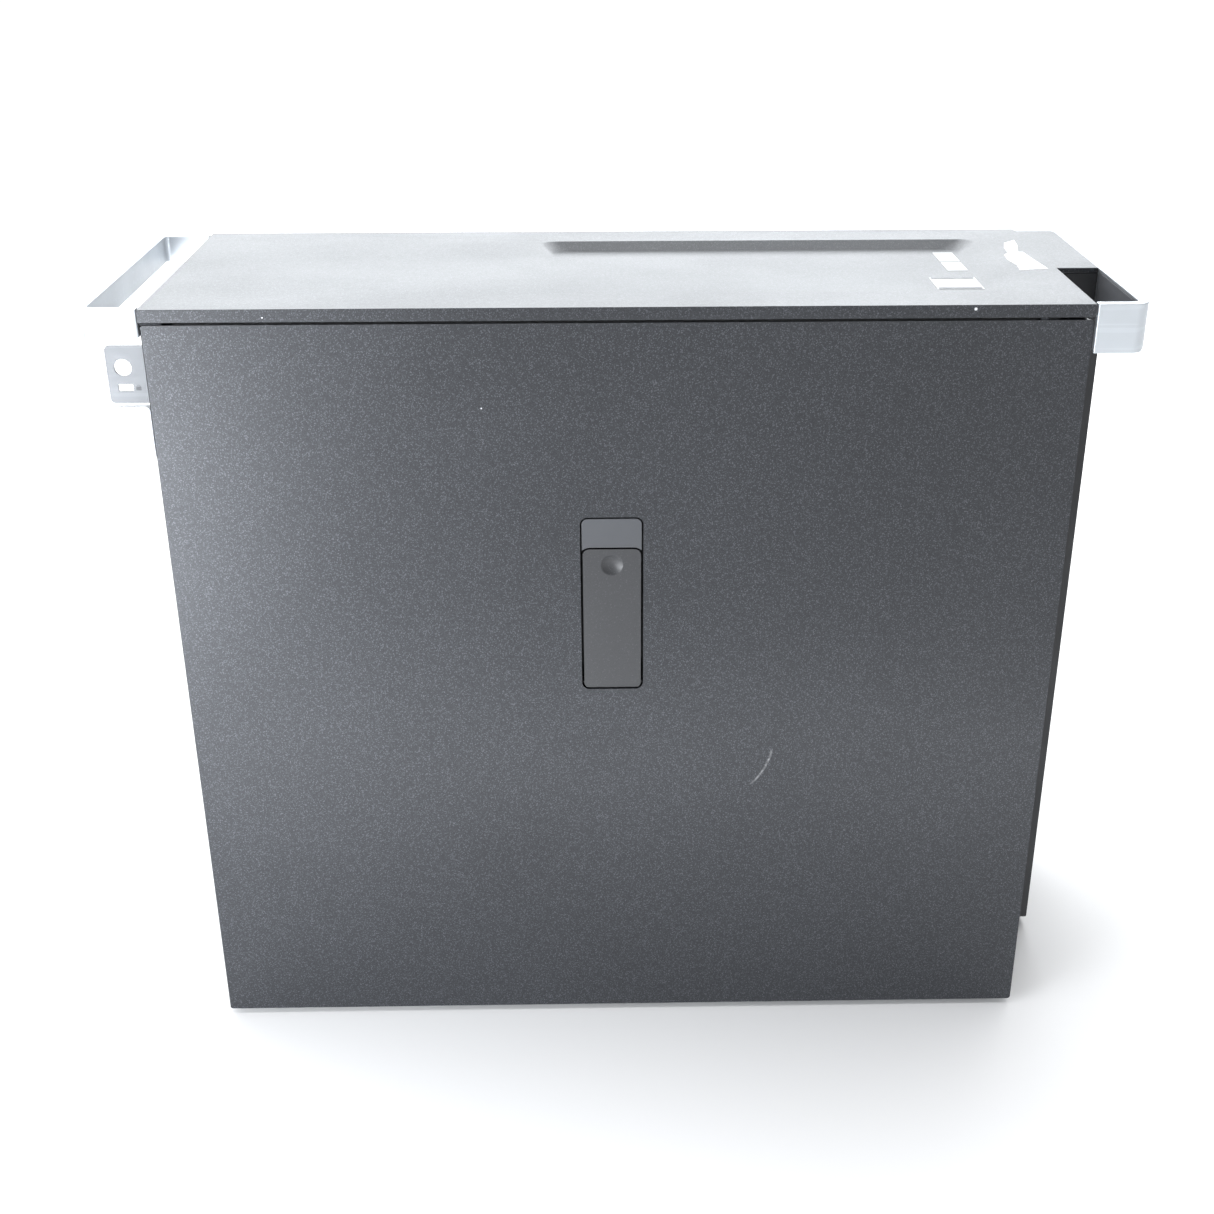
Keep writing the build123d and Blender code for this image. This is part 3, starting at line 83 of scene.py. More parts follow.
class Bench:
    """Wires the nodes of one material, all read from the piece's own place."""

    def __init__(self, name: str) -> None:
        """Start a material with one shader.

        Args:
            name: The material's name.
        """
        self.material = bpy.data.materials.new(name)
        self.material.use_nodes = True
        self.tree = self.material.node_tree
        self.tree.nodes.clear()
        self.shader = self.tree.nodes.new("ShaderNodeBsdfPrincipled")
        output = self.tree.nodes.new("ShaderNodeOutputMaterial")
        self.tree.links.new(self.shader.outputs["BSDF"], output.inputs["Surface"])
        self.place = self.tree.nodes.new("ShaderNodeTexCoord").outputs["Object"]

    def link(self, source: bpy.types.NodeSocket, target: bpy.types.NodeSocket) -> None:
        """Join two sockets.

        Args:
            source: The socket that gives.
            target: The socket that takes.
        """
        self.tree.links.new(source, target)

    def feed(self, value: object, target: bpy.types.NodeSocket) -> None:
        """Link a socket, or set a plain number, to a node's input.

        Args:
            value: A socket or a number.
            target: The input.
        """
        if isinstance(value, bpy.types.NodeSocket):
            self.link(value, target)
        else:
            target.default_value = value

    def stretched(self, stretch: Point) -> bpy.types.NodeSocket:
        """The piece's coordinates, scaled along each axis.

        Args:
            stretch: The scale along X, Y and Z.

        Returns:
            The vector socket.
        """
        mapping = self.tree.nodes.new("ShaderNodeMapping")
        mapping.inputs["Scale"].default_value = stretch
        self.link(self.place, mapping.inputs["Vector"])
        return mapping.outputs["Vector"]

    def noise(self, scale: float, detail: float = 3.0, stretch: Point = (1.0, 1.0, 1.0)) -> bpy.types.NodeSocket:
        """Soft random values.

        Args:
            scale: Grains per metre.
            detail: Octaves.
            stretch: The scale along each axis.

        Returns:
            The value socket, about 0.5 on average.
        """
        node = self.tree.nodes.new("ShaderNodeTexNoise")
        node.inputs["Scale"].default_value = scale
        node.inputs["Detail"].default_value = detail
        self.link(self.stretched(stretch), node.inputs["Vector"])
        return node.outputs["Fac"]

    def cells(self, scale: float, stretch: Point = (1.0, 1.0, 1.0)) -> bpy.types.Node:
        """Random cells with a colour and a distance each.

        Args:
            scale: Cells per metre.
            stretch: The scale along each axis.

        Returns:
            The cell node.
        """
        node = self.tree.nodes.new("ShaderNodeTexVoronoi")
        node.inputs["Scale"].default_value = scale
        self.link(self.stretched(stretch), node.inputs["Vector"])
        return node

    def red(self, colour: bpy.types.NodeSocket) -> bpy.types.NodeSocket:
        """The red channel of a colour, as one random value per cell."""
        node = self.tree.nodes.new("ShaderNodeSeparateColor")
        self.link(colour, node.inputs["Color"])
        return node.outputs["Red"]

    def math(self, operation: str, first: object, second: object = 0.0) -> bpy.types.NodeSocket:
        """One sum on two values.

        Args:
            operation: The Math node's operation.
            first: A socket or number.
            second: A socket or number.

        Returns:
            The value socket.
        """
        node = self.tree.nodes.new("ShaderNodeMath")
        node.operation = operation
        self.feed(first, node.inputs[0])
        self.feed(second, node.inputs[1])
        return node.outputs["Value"]

    def span(self, value: bpy.types.NodeSocket, low: float, high: float, start: float = 0.0,
             end: float = 1.0) -> bpy.types.NodeSocket:
        """Map a value from one range to another, held at both ends.

        Args:
            value: The value socket.
            low: Where the range begins.
            high: Where the range ends.
            start: The result at the beginning.
            end: The result at the end.

        Returns:
            The mapped value socket.
        """
        node = self.tree.nodes.new("ShaderNodeMapRange")
        self.link(value, node.inputs["Value"])
        for key, number in (("From Min", low), ("From Max", high), ("To Min", start), ("To Max", end)):
            node.inputs[key].default_value = number
        return node.outputs["Result"]

    def blend(self, share: bpy.types.NodeSocket, first: object, second: object) -> bpy.types.NodeSocket:
        """Mix two colours.

        Args:
            share: How much of the second.
            first: A colour or a socket.
            second: A colour or a socket.

        Returns:
            The colour socket.
        """
        node = self.tree.nodes.new("ShaderNodeMix")
        node.data_type = "RGBA"
        self.link(share, node.inputs["Factor"])
        for value, target in ((first, node.inputs[6]), (second, node.inputs[7])):
            self.feed(value if isinstance(value, bpy.types.NodeSocket) else (*value, 1.0), target)
        return node.outputs[2]

    def near(self, point: Point, radius: float) -> bpy.types.NodeSocket:
        """A soft dot round a point of the piece.

        Args:
            point: The middle, in metres.
            radius: The dot's radius, in metres.

        Returns:
            The value socket, 1 inside.
        """
        node = self.tree.nodes.new("ShaderNodeVectorMath")
        node.operation = "DISTANCE"
        self.link(self.place, node.inputs[0])
        node.inputs[1].default_value = point
        return self.span(node.outputs["Value"], radius, radius * 0.6)

    def relief(self, height: bpy.types.NodeSocket, strength: float, depth: float) -> None:
        """Give the shader a fine relief.

        Args:
            height: The height socket.
            strength: How much of it shows.
            depth: The height of the relief, in metres.
        """
        node = self.tree.nodes.new("ShaderNodeBump")
        node.inputs["Strength"].default_value = strength
        node.inputs["Distance"].default_value = depth
        self.link(height, node.inputs["Height"])
        self.link(node.outputs["Normal"], self.shader.inputs["Normal"])

    def plain(self, **values: float) -> None:
        """Set numbers that are the same all over on the shader's own sockets."""
        for key, value in values.items():
            self.shader.inputs[key.replace("_", " ")].default_value = value


@dataclass(frozen=True)
class Scratch:
    """A curved rub mark, an arc of a circle that faces along X."""

    middle: Point
    radius: float
    low: float
    high: float
    width: float


@dataclass(frozen=True)
class FleckPaint:
    """Baked paint with metal flecks, fine orange peel, rubbed patches and small chips."""

    name: str
    base: Colour
    fleck: Colour
    fleck_scale: float = 2300.0
    fleck_share: float = 0.22
    roughness: tuple[float, float] = (0.37, 0.41)
    metallic: float = 0.25
    coat: float = 0.12
    relief: float = 0.16
    chips: tuple[tuple[Point, float], ...] = ()
    scratches: tuple[Scratch, ...] = ()
    chip_colour: Colour = (0.75, 0.76, 0.78)

    def build(self) -> bpy.types.Material:
        """Make the paint.

        Returns:
            The material.
        """
        bench = Bench(self.name)
        cells = bench.cells(self.fleck_scale)
        picked = bench.span(bench.red(cells.outputs["Color"]), 1.0 - self.fleck_share, 1.0)
        fine = bench.cells(self.fleck_scale * 2.3)
        spark = bench.span(bench.red(fine.outputs["Color"]), 0.55, 1.0, 0.0, 0.45)
        fleck = bench.math("MAXIMUM", picked, spark)
        cloud = bench.span(bench.noise(9.0, 4.0), 0.3, 0.7, 0.93, 1.05)
        shade = bench.blend(fleck, self.base, self.fleck)
        colour = self.scaled(bench, shade, cloud)
        marks = [bench.near(point, radius) for point, radius in self.chips]
        for mark in marks:
            colour = bench.blend(mark, colour, self.chip_colour)
        for scratch in self.scratches:
            rub = self.rub(bench, scratch)
            colour = bench.blend(rub, colour, self.chip_colour)
        bench.link(colour, bench.shader.inputs["Base Color"])
        smear = bench.noise(22.0, 5.0, (1.0, 0.5, 1.6))
        patch = bench.span(smear, 0.35, 0.68, self.roughness[0], self.roughness[1])
        grain = bench.span(bench.noise(700.0, 2.0), 0.2, 0.8, -0.03, 0.03)
        bench.link(bench.math("ADD", patch, grain), bench.shader.inputs["Roughness"])
        peel = bench.math("ADD", bench.noise(1100.0, 2.0), bench.math("MULTIPLY", cells.outputs["Distance"], 0.35))
        bench.relief(peel, self.relief, 0.12 * MM)
        bench.plain(Metallic=self.metallic, Coat_Weight=self.coat, Coat_Roughness=0.32, Specular_IOR_Level=0.5)
        return bench.material

    def scaled(self, bench: Bench, colour: bpy.types.NodeSocket, share: bpy.types.NodeSocket) -> bpy.types.NodeSocket:
        """Darken or lighten a colour by a value.

        Args:
            bench: The material's bench.
            colour: The colour socket.
            share: The value socket.

        Returns:
            The colour socket.
        """
        node = bench.tree.nodes.new("ShaderNodeVectorMath")
        node.operation = "SCALE"
        bench.link(colour, node.inputs[0])
        bench.link(share, node.inputs["Scale"])
        return node.outputs["Vector"]

    def rub(self, bench: Bench, scratch: Scratch) -> bpy.types.NodeSocket:
        """The share of a rub mark at each place.

        Args:
            bench: The material's bench.
            scratch: The mark.

        Returns:
            The value socket.
        """
        reach = bench.tree.nodes.new("ShaderNodeVectorMath")
        reach.operation = "DISTANCE"
        bench.link(bench.place, reach.inputs[0])
        reach.inputs[1].default_value = scratch.middle
        off = bench.math("ABSOLUTE", bench.math("SUBTRACT", reach.outputs["Value"], scratch.radius))
        line = bench.span(off, scratch.width, scratch.width * 0.2)
        split = bench.tree.nodes.new("ShaderNodeSeparateXYZ")
        bench.link(bench.place, split.inputs["Vector"])
        ends = 4.0 * MM
        above = bench.span(split.outputs["Z"], scratch.low, scratch.low + ends)
        below = bench.span(split.outputs["Z"], scratch.high, scratch.high - ends)
        outside = bench.span(split.outputs["X"], -0.0870, -0.0880)
        side = bench.span(split.outputs["Y"], scratch.middle[1], scratch.middle[1] - ends)
        kept = bench.math("MULTIPLY", bench.math("MULTIPLY", line, above), bench.math("MULTIPLY", below, outside))
        kept = bench.math("MULTIPLY", kept, side)
        worn = bench.span(bench.noise(420.0, 3.0), 0.35, 0.6, 0.25, 0.85)
        return bench.math("MULTIPLY", bench.math("MULTIPLY", kept, worn), 0.34)


@dataclass(frozen=True)
class SatinMetal:
    """Bare or plated metal with the grain of how it was made, dull patches and fine scratches."""

    name: str
    colour: Colour
    made: Metal
    roughness: tuple[float, float] = (0.28, 0.42)
    metallic: float = 1.0
    relief: float = 0.12

    def build(self) -> bpy.types.Material:
        """Make the metal.

        Returns:
            The material.
        """
        bench = Bench(self.name)
        stretch = {
            Metal.BEAD_BLASTED: (1.0, 1.0, 1.0),
            Metal.ROLLED: (1.0, 0.06, 1.0),
            Metal.SPANGLED: (1.0, 1.0, 1.0),
            Metal.DRAWN: (1.0, 1.0, 0.05),
        }[self.made]
        grain = bench.noise(1400.0, 3.0, stretch)
        patch = bench.noise(18.0, 4.0)
        dark = tuple(channel * 0.84 for channel in self.colour)
        share = bench.span(patch, 0.35, 0.7)
        if self.made is Metal.SPANGLED:
            spangle = bench.red(bench.cells(85.0).outputs["Color"])
            share = bench.math("ADD", bench.math("MULTIPLY", share, 0.45), bench.math("MULTIPLY", spangle, 0.5))
        colour = bench.blend(share, self.colour, dark)
        lines = bench.span(bench.noise(260.0, 1.0, (0.9, 0.03, 1.2)), 0.62, 0.66)
        pale = tuple(min(1.0, channel * 1.12) for channel in self.colour)
        colour = bench.blend(bench.math("MULTIPLY", lines, 0.3), colour, pale)
        bench.link(colour, bench.shader.inputs["Base Color"])
        rough = bench.span(share, 0.0, 1.0, self.roughness[0], self.roughness[1])
        fine = bench.span(grain, 0.3, 0.7, -0.04, 0.05)
        bench.link(bench.math("ADD", rough, fine), bench.shader.inputs["Roughness"])
        bench.relief(grain, self.relief, 0.06 * MM)
        bench.plain(Metallic=self.metallic)
        return bench.material


@dataclass(frozen=True)
class MouldedPlastic:
    """Moulded plastic or rubber with a spark-eroded grain, handling marks and pale worn spots."""

    name: str
    colour: Colour
    made: Moulding = Moulding.FINE_GRAIN
    roughness: tuple[float, float] = (0.45, 0.6)
    grain: float = 1600.0
    relief: float = 0.25
    coat: float = 0.0

    def build(self) -> bpy.types.Material:
        """Make the plastic.

        Returns:
            The material.
        """
        bench = Bench(self.name)
        pale = tuple(min(1.0, channel * 1.35 + 0.012) for channel in self.colour)
        cloud = bench.span(bench.noise(14.0, 5.0), 0.42, 0.72)
        mottle = bench.math("MULTIPLY", cloud, 0.5)
        colour = bench.blend(mottle, self.colour, pale)
        scuff = bench.span(bench.noise(190.0, 4.0, (0.3, 1.0, 1.4)), 0.64, 0.72)
        colour = bench.blend(bench.math("MULTIPLY", scuff, 0.35), colour, pale)
        bench.link(colour, bench.shader.inputs["Base Color"])
        rough = bench.span(cloud, 0.0, 1.0, self.roughness[1], self.roughness[0])
        rough = bench.math("ADD", rough, bench.math("MULTIPLY", scuff, 0.06))
        bench.link(rough, bench.shader.inputs["Roughness"])
        share = {Moulding.FINE_GRAIN: 1.0, Moulding.SATIN: 0.45, Moulding.POLISHED: 0.12}[self.made]
        grain = bench.math("ADD", bench.noise(self.grain, 2.0), bench.cells(self.grain * 0.6).outputs["Distance"])
        bench.relief(grain, self.relief * share, 0.1 * MM)
        bench.plain(Metallic=0.0, Coat_Weight=self.coat, Coat_Roughness=0.15)
        return bench.material


@dataclass(frozen=True)
class BoardMask:
    """Circuit board under solder mask, with raised tracks and small plated holes."""

    name: str
    mask: Colour
    track: Colour
    plated: Colour = (0.62, 0.58, 0.42)
    pitch: float = 260.0

    def build(self) -> bpy.types.Material:
        """Make the board's surface.

        Returns:
            The material.
        """
        bench = Bench(self.name)
        tall = bench.cells(self.pitch, (1.0, 1.0, 0.12))
        long = bench.cells(self.pitch, (1.0, 0.12, 1.0))
        for cells in (tall, long):
            cells.distance = "CHEBYCHEV"
        tracks = bench.math("MINIMUM", bench.red(tall.outputs["Color"]), bench.red(long.outputs["Color"]))
        raised = bench.span(tracks, 0.3, 0.36)
        colour = bench.blend(raised, self.mask, self.track)
        holes = bench.cells(self.pitch * 0.9)
        drilled = bench.span(holes.outputs["Distance"], 0.2, 0.16)
        some = bench.math("MULTIPLY", drilled, bench.span(bench.red(holes.outputs["Color"]), 0.7, 0.72))
        colour = bench.blend(some, colour, self.plated)
        bench.link(colour, bench.shader.inputs["Base Color"])
        bench.link(bench.span(bench.noise(60.0, 4.0), 0.3, 0.7, 0.22, 0.36), bench.shader.inputs["Roughness"])
        bench.relief(raised, 0.3, 0.05 * MM)
        bench.plain(Metallic=0.0)
        return bench.material


@dataclass(frozen=True)
class LabelSkin:
    """White label stock: faint fibre, slight yellowing and a soft gloss."""

    name: str
    colour: Colour = (0.66, 0.67, 0.68)
    shade: Colour = (0.50, 0.52, 0.54)
    roughness: float = 0.5

    def build(self) -> bpy.types.Material:
        """Make the label stock.

        Returns:
            The material.
        """
        bench = Bench(self.name)
        fibre = bench.span(bench.noise(900.0, 4.0, (1.0, 0.3, 1.0)), 0.4, 0.75)
        cloud = bench.span(bench.noise(60.0, 3.0), 0.45, 0.75)
        colour = bench.blend(bench.math("MULTIPLY", fibre, 0.4), self.colour, self.shade)
        colour = bench.blend(bench.math("MULTIPLY", cloud, 0.35), colour, self.shade)
        bench.link(colour, bench.shader.inputs["Base Color"])
        rough = bench.span(fibre, 0.0, 1.0, self.roughness, self.roughness + 0.15)
        bench.link(rough, bench.shader.inputs["Roughness"])
        bench.relief(bench.noise(1200.0, 3.0), 0.15, 0.03 * MM)
        bench.plain(Metallic=0.0)
        return bench.material


def cover_finish(name: str, marked: bool) -> FleckPaint:
    """The dark fleck paint of the covers.

    Args:
        name: The finish's name.
        marked: True with the rub mark and chips that the access side has.

    Returns:
        The finish.
    """
    chips = (
        ((-88.25 * MM, -173.3 * MM, 415.9 * MM), 0.9 * MM),
        ((-88.25 * MM, 66.7 * MM, 368.0 * MM), 0.45 * MM),
        ((-88.25 * MM, 169.7 * MM, 413.8 * MM), 0.4 * MM),
    )
    rub = Scratch((-88.25 * MM, -44.3 * MM, 180.2 * MM), 40.0 * MM, 151.5 * MM, 174.5 * MM, 0.8 * MM)
    return FleckPaint(
        name,
        base=(0.024, 0.026, 0.030),
        fleck=(0.096, 0.101, 0.114),
        metallic=0.4,
        chips=chips if marked else (),
        scratches=(rub,) if marked else (),
    )


FINISHES = {
    "cover_paint": cover_finish("charcoal_fleck_paint", True),
    "latch_paint": FleckPaint("latch_satin_paint", (0.034, 0.035, 0.038), (0.06, 0.062, 0.066), 2200.0, 0.08,
                              (0.40, 0.50), 0.0, 0.0, 0.10),
    "tab_plastic": MouldedPlastic("latch_tab_plastic", (0.060, 0.063, 0.070), Moulding.SATIN, (0.32, 0.42)),
    "silver": SatinMetal("silver_handle_paint", (0.60, 0.635, 0.67), Metal.BEAD_BLASTED, (0.36, 0.46), 0.45),
    "dark_plastic": MouldedPlastic("charcoal_moulded_plastic", (0.028, 0.029, 0.032)),
    "grille_black": SatinMetal("blackened_grille_steel", (0.032, 0.033, 0.036), Metal.BEAD_BLASTED, (0.40, 0.52), 0.35),
    "power_button": MouldedPlastic("power_button_gloss", (0.055, 0.057, 0.062), Moulding.POLISHED, (0.16, 0.24), coat=0.5),
    "port_black": MouldedPlastic("port_strip_plastic", (0.018, 0.018, 0.020), Moulding.SATIN),
    "drive_black": MouldedPlastic("drive_face_plastic", (0.024, 0.024, 0.027), Moulding.SATIN, (0.36, 0.5)),
    "zinc_steel": SatinMetal("zinc_plated_steel", (0.60, 0.61, 0.62), Metal.SPANGLED, (0.30, 0.46)),
    "tab_steel": SatinMetal("padlock_tab_steel", (0.125, 0.13, 0.137), Metal.ROLLED, (0.34, 0.44), 0.6),
    "bright_steel": SatinMetal("bright_rolled_steel", (0.72, 0.73, 0.74), Metal.ROLLED, (0.22, 0.34)),
    "foot_rubber": MouldedPlastic("foot_rubber", (0.016, 0.016, 0.017), Moulding.FINE_GRAIN, (0.7, 0.85), 900.0),
    "light_plastic": MouldedPlastic("pale_catch_plastic", (0.66, 0.68, 0.71), Moulding.SATIN, (0.4, 0.5)),
    "pull_plastic": MouldedPlastic("burnt_orange_pull_plastic", (0.50, 0.12, 0.03), Moulding.SATIN, (0.38, 0.48)),
    "board_green": BoardMask("green_board", (0.012, 0.060, 0.030), (0.022, 0.105, 0.050)),
    "card_black": BoardMask("black_board", (0.012, 0.012, 0.013), (0.028, 0.028, 0.031)),
    "socket_black": MouldedPlastic("socket_plastic", (0.022, 0.022, 0.024), Moulding.SATIN),
    "standoff_brass": SatinMetal("turned_brass", (0.72, 0.50, 0.22), Metal.DRAWN, (0.2, 0.32)),
    "fin_aluminium": SatinMetal("fin_aluminium", (0.80, 0.81, 0.82), Metal.DRAWN, (0.24, 0.38)),
    "fan_black": MouldedPlastic("fan_plastic", (0.020, 0.020, 0.022), Moulding.SATIN, (0.4, 0.55)),
    "lead_black": MouldedPlastic("lead_sleeve", (0.017, 0.017, 0.018), Moulding.FINE_GRAIN, (0.55, 0.7), 1100.0),
}


class Workshop:
    """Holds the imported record's facts and the finished materials."""

    def __init__(self) -> None:
        """Read which body and slot each node has, and make one material per slot."""
        record = frame["record"]
        self.slots = {part["node"]: part["material_slot"] for part in record["subparts"]}
        self.bodies = {
            node: body for body, nodes in record["behaviour"]["bodies"].items() for node in nodes
        }
        self.materials = {slot: finish.build() for slot, finish in FINISHES.items()}
        self.extra: dict[str, bpy.types.Material] = {}

    def finish_of(self, node: str) -> bpy.types.Material:
        """The material of a node's slot."""
        return self.materials[self.slots[node]]

    def dress(self, node: str) -> None:
        """Give a node that stays its finish.

        Args:
            node: The node's name.
        """
        mesh = frame["nodes"][node].data
        mesh.materials.clear()
        mesh.materials.append(self.finish_of(node))

    def own(self, finish: LabelSkin | MouldedPlastic | FleckPaint | SatinMetal) -> bpy.types.Material:
        """A finish that isn't in the record, made once."""
        if finish.name not in self.extra:
            self.extra[finish.name] = finish.build()
        return self.extra[finish.name]

    def place(self, shape: bmesh.types.BMesh, name: str, body: str, material: bpy.types.Material,
              smooth: bool = True) -> bpy.types.Object:
        """Turn a shape into a piece that rides on a body.

        Args:
            shape: The finished shape, which is freed.
            name: The piece's name.
            body: The body that it rides on.
            material: Its material.
            smooth: True to shade its gentle edges smooth.

        Returns:
            The piece.
        """
        mesh = bpy.data.meshes.new(name)
        shape.to_mesh(mesh)
        shape.free()
        mesh.materials.append(material)
        piece = bpy.data.objects.new(name, mesh)
        bpy.context.scene.collection.objects.link(piece)
        for polygon in mesh.polygons:
            polygon.use_smooth = smooth
        if smooth:
            mesh.set_sharp_from_angle(angle=SMOOTH_ANGLE)
            even = piece.modifiers.new("even_normals", "WEIGHTED_NORMAL")
            even.keep_sharp = True
        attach(piece, body)
        return piece

    def has_room(self, edge: bmesh.types.BMEdge, width: float) -> bool:
        """Whether both faces beside an edge are deep enough to be rounded from each side.

        Args:
            edge: The edge.
            width: The width of the rounding, in metres.

        Returns:
            True if both are.
        """
        start = edge.verts[0].co
        way = (edge.verts[1].co - start).normalized()
        depths = [
            max((vert.co - start - way * (vert.co - start).dot(way)).length for vert in face.verts)
            for face in edge.link_faces
        ]
        return min(depths) > width * ROOM_SHARE

    def softened(self, node: str, width: float, segments: int) -> bmesh.types.BMesh:
        """A merged copy of a node's mesh with its sharp edges rounded.

        Args:
            node: The node's name.
            width: How far each edge is rounded, in metres, or 0 for none.
            segments: Faces across a rounded edge.

        Returns:
            The shape.
        """
        shape = bmesh.new()
        shape.from_mesh(frame["nodes"][node].data)
        bmesh.ops.remove_doubles(shape, verts=shape.verts, dist=WELD)
        bmesh.ops.dissolve_limit(shape, angle_limit=FLAT_ANGLE, verts=shape.verts, edges=shape.edges)
        sharp = [
            edge for edge in shape.edges
            if len(edge.link_faces) == 2 and edge.calc_face_angle(0.0) > SHARP_ANGLE
            and self.has_room(edge, width)
        ]
        if width > 0.0:
            bmesh.ops.bevel(shape, geom=sharp, offset=width, offset_type="OFFSET", segments=segments,
                            profile=0.5, affect="EDGES", clamp_overlap=False, material=-1, loop_slide=True)
        return shape

    def ease(self, node: str, width: float, segments: int = 2) -> bpy.types.Object:
        """Replace a node by a copy with rounded edges, as wide as its smallest features allow.

        Args:
            node: The node's name.
            width: How far each edge is rounded at most, in metres.
            segments: Faces across a rounded edge.

        Returns:
            The piece.
        """
        for share in EASE_SHARES:
            shape = self.softened(node, width * share, segments)
            folded = any(
                len(edge.link_faces) != 2 or edge.calc_face_angle(0.0) > FOLD_ANGLE for edge in shape.edges
            )
            if not folded:
                break
            if share != EASE_SHARES[-1]:
                shape.free()
        LOG.info("%s: edges eased %.2f mm", node, width * share / MM)
        piece = self.place(shape, f"{node}_eased", self.bodies[node], self.finish_of(node))
        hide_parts(node)
        return piece


def panel(x: tuple[float, float], y: tuple[float, float], z: tuple[float, float], corner: float,
          along: int = 2) -> bmesh.types.BMesh:
    """A thin closed plate with rounded corners.

    Args:
        x: Its reach in X, in metres.
        y: Its reach in Y.
        z: Its reach in Z.
        corner: The corners' radius.
        along: The axis that its thickness lies on.

    Returns:
        The shape.
    """
    shape = bmesh.new()
    bmesh.ops.create_cube(shape, size=1.0)
    low, high = Vector((x[0], y[0], z[0])), Vector((x[1], y[1], z[1]))
    bmesh.ops.scale(shape, vec=high - low, verts=shape.verts)
    bmesh.ops.translate(shape, vec=(low + high) / 2, verts=shape.verts)
    upright = [
        edge for edge in shape.edges
        if abs((edge.verts[0].co - edge.verts[1].co).normalized()[along]) > 0.9
    ]
    bmesh.ops.bevel(shape, geom=upright, offset=corner, offset_type="OFFSET", segments=4, profile=0.5,
                    affect="EDGES", material=-1)
    return shape


def outline_plate(points: list[tuple[float, float]], low: float, high: float) -> bmesh.types.BMesh:
    """A thin closed plate on an outline in X and Y.

    Args:
        points: The outline's corners.
        low: The height of its lower face.
        high: The height of its upper face.

    Returns:
        The shape.
    """
    shape = bmesh.new()
    corners = [shape.verts.new((x, y, low)) for x, y in points]
    face = shape.faces.new(corners)
    raised = bmesh.ops.extrude_face_region(shape, geom=[face])
    lifted = [item for item in raised["geom"] if isinstance(item, bmesh.types.BMVert)]
    bmesh.ops.translate(shape, vec=(0.0, 0.0, high - low), verts=lifted)
    bmesh.ops.recalc_face_normals(shape, faces=shape.faces)
    return shape


@dataclass
class SubAssembly:
    """Nodes that are finished together: some keep their mesh, some get eased edges."""

    title: str
    kept: tuple[str, ...] = ()
    eased: dict[str, float] = field(default_factory=dict)
    segments: int = 2

    def build(self, shop: Workshop) -> int:
        """Dress the kept nodes and ease the others.

        Args:
            shop: The workshop.

        Returns:
            How many pieces were made or dressed.
        """
        for node in self.kept:
            shop.dress(node)
        for node, width in self.eased.items():
            shop.ease(node, width * MM, self.segments)
        made = len(self.kept) + len(self.eased) + self.details(shop)
        LOG.info("%s: %d pieces", self.title, made)
        return made

    def details(self, shop: Workshop) -> int:
        """Add the pieces that only this sub-assembly has.

        Args:
            shop: The workshop.

        Returns:
            How many pieces were added.
        """
        return 0


@dataclass
class TopCover(SubAssembly):
    """The top cover with its plain labels and what is left of a torn one."""

    thickness: float = 0.12
    sticker_thickness: float = 0.05
    tray_depth: float = 4.0
    label_corner: float = 0.6

    def details(self, shop: Workshop) -> int:
        """Lay the labels in the tray and the torn one ahead of it.

        Args:
            shop: The workshop.

        Returns:
            How many pieces were added.
        """
        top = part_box("top_cover")[1].z
        floor = top - self.tray_depth * MM
        stock = shop.own(LabelSkin("label_stock"))
        grey = shop.own(LabelSkin("label_grey_strip", (0.20, 0.21, 0.23), (0.15, 0.16, 0.18)))
        columns = (("label_column_near", (1.0, 21.0)), ("label_column_far", (22.6, 45.0)))
        for name, reach in columns:
            self.label(shop, name, reach, (-188.3, -177.3), floor, stock)
        self.label(shop, "label_square", (-40.0, -14.0), (-188.3, -164.3), floor, stock)
        over = floor + self.thickness * MM
        self.label(shop, "label_square_strip_near", (-39.2, -36.6), (-187.4, -165.2), over, grey)
        self.label(shop, "label_square_strip_far", (-17.4, -14.8), (-187.4, -165.2), over, grey)
        torn = [(50.6, -218.3), (58.3, -225.7), (44.0, -224.2), (36.0, -222.4), (27.5, -220.7), (27.4, -223.4),
                (8.0, -225.0), (-12.3, -227.1), (-15.4, -211.6), (-4.0, -212.6), (9.0, -210.6), (20.3, -211.4),
                (26.0, -214.6), (38.0, -215.4)]
        points = [(x * MM, y * MM) for x, y in torn]
        shape = outline_plate(points, top - self.sticker_thickness * MM, top + self.sticker_thickness * MM)
        rest = shop.place(shape, "torn_sticker", "chassis", shop.own(LabelSkin("torn_paper", (0.92, 0.93, 0.94))), False)
        return 6

    def label(self, shop: Workshop, name: str, x: tuple[float, float], y: tuple[float, float], floor: float,
              material: bpy.types.Material) -> None:
        """Lay one plain label.

        Args:
            shop: The workshop.
            name: The piece's name.
            x: Its reach in X, in millimetres.
            y: Its reach in Y, in millimetres.
            floor: The height that it lies on, in metres.
            material: Its material.
        """
        across, deep = tuple(v * MM for v in x), tuple(v * MM for v in y)
        corner = min(self.label_corner, (x[1] - x[0]) / 3) * MM
        shape = panel(across, deep, (floor - 0.02 * MM, floor + self.thickness * MM), corner)
        shop.place(shape, name, "chassis", material, False)


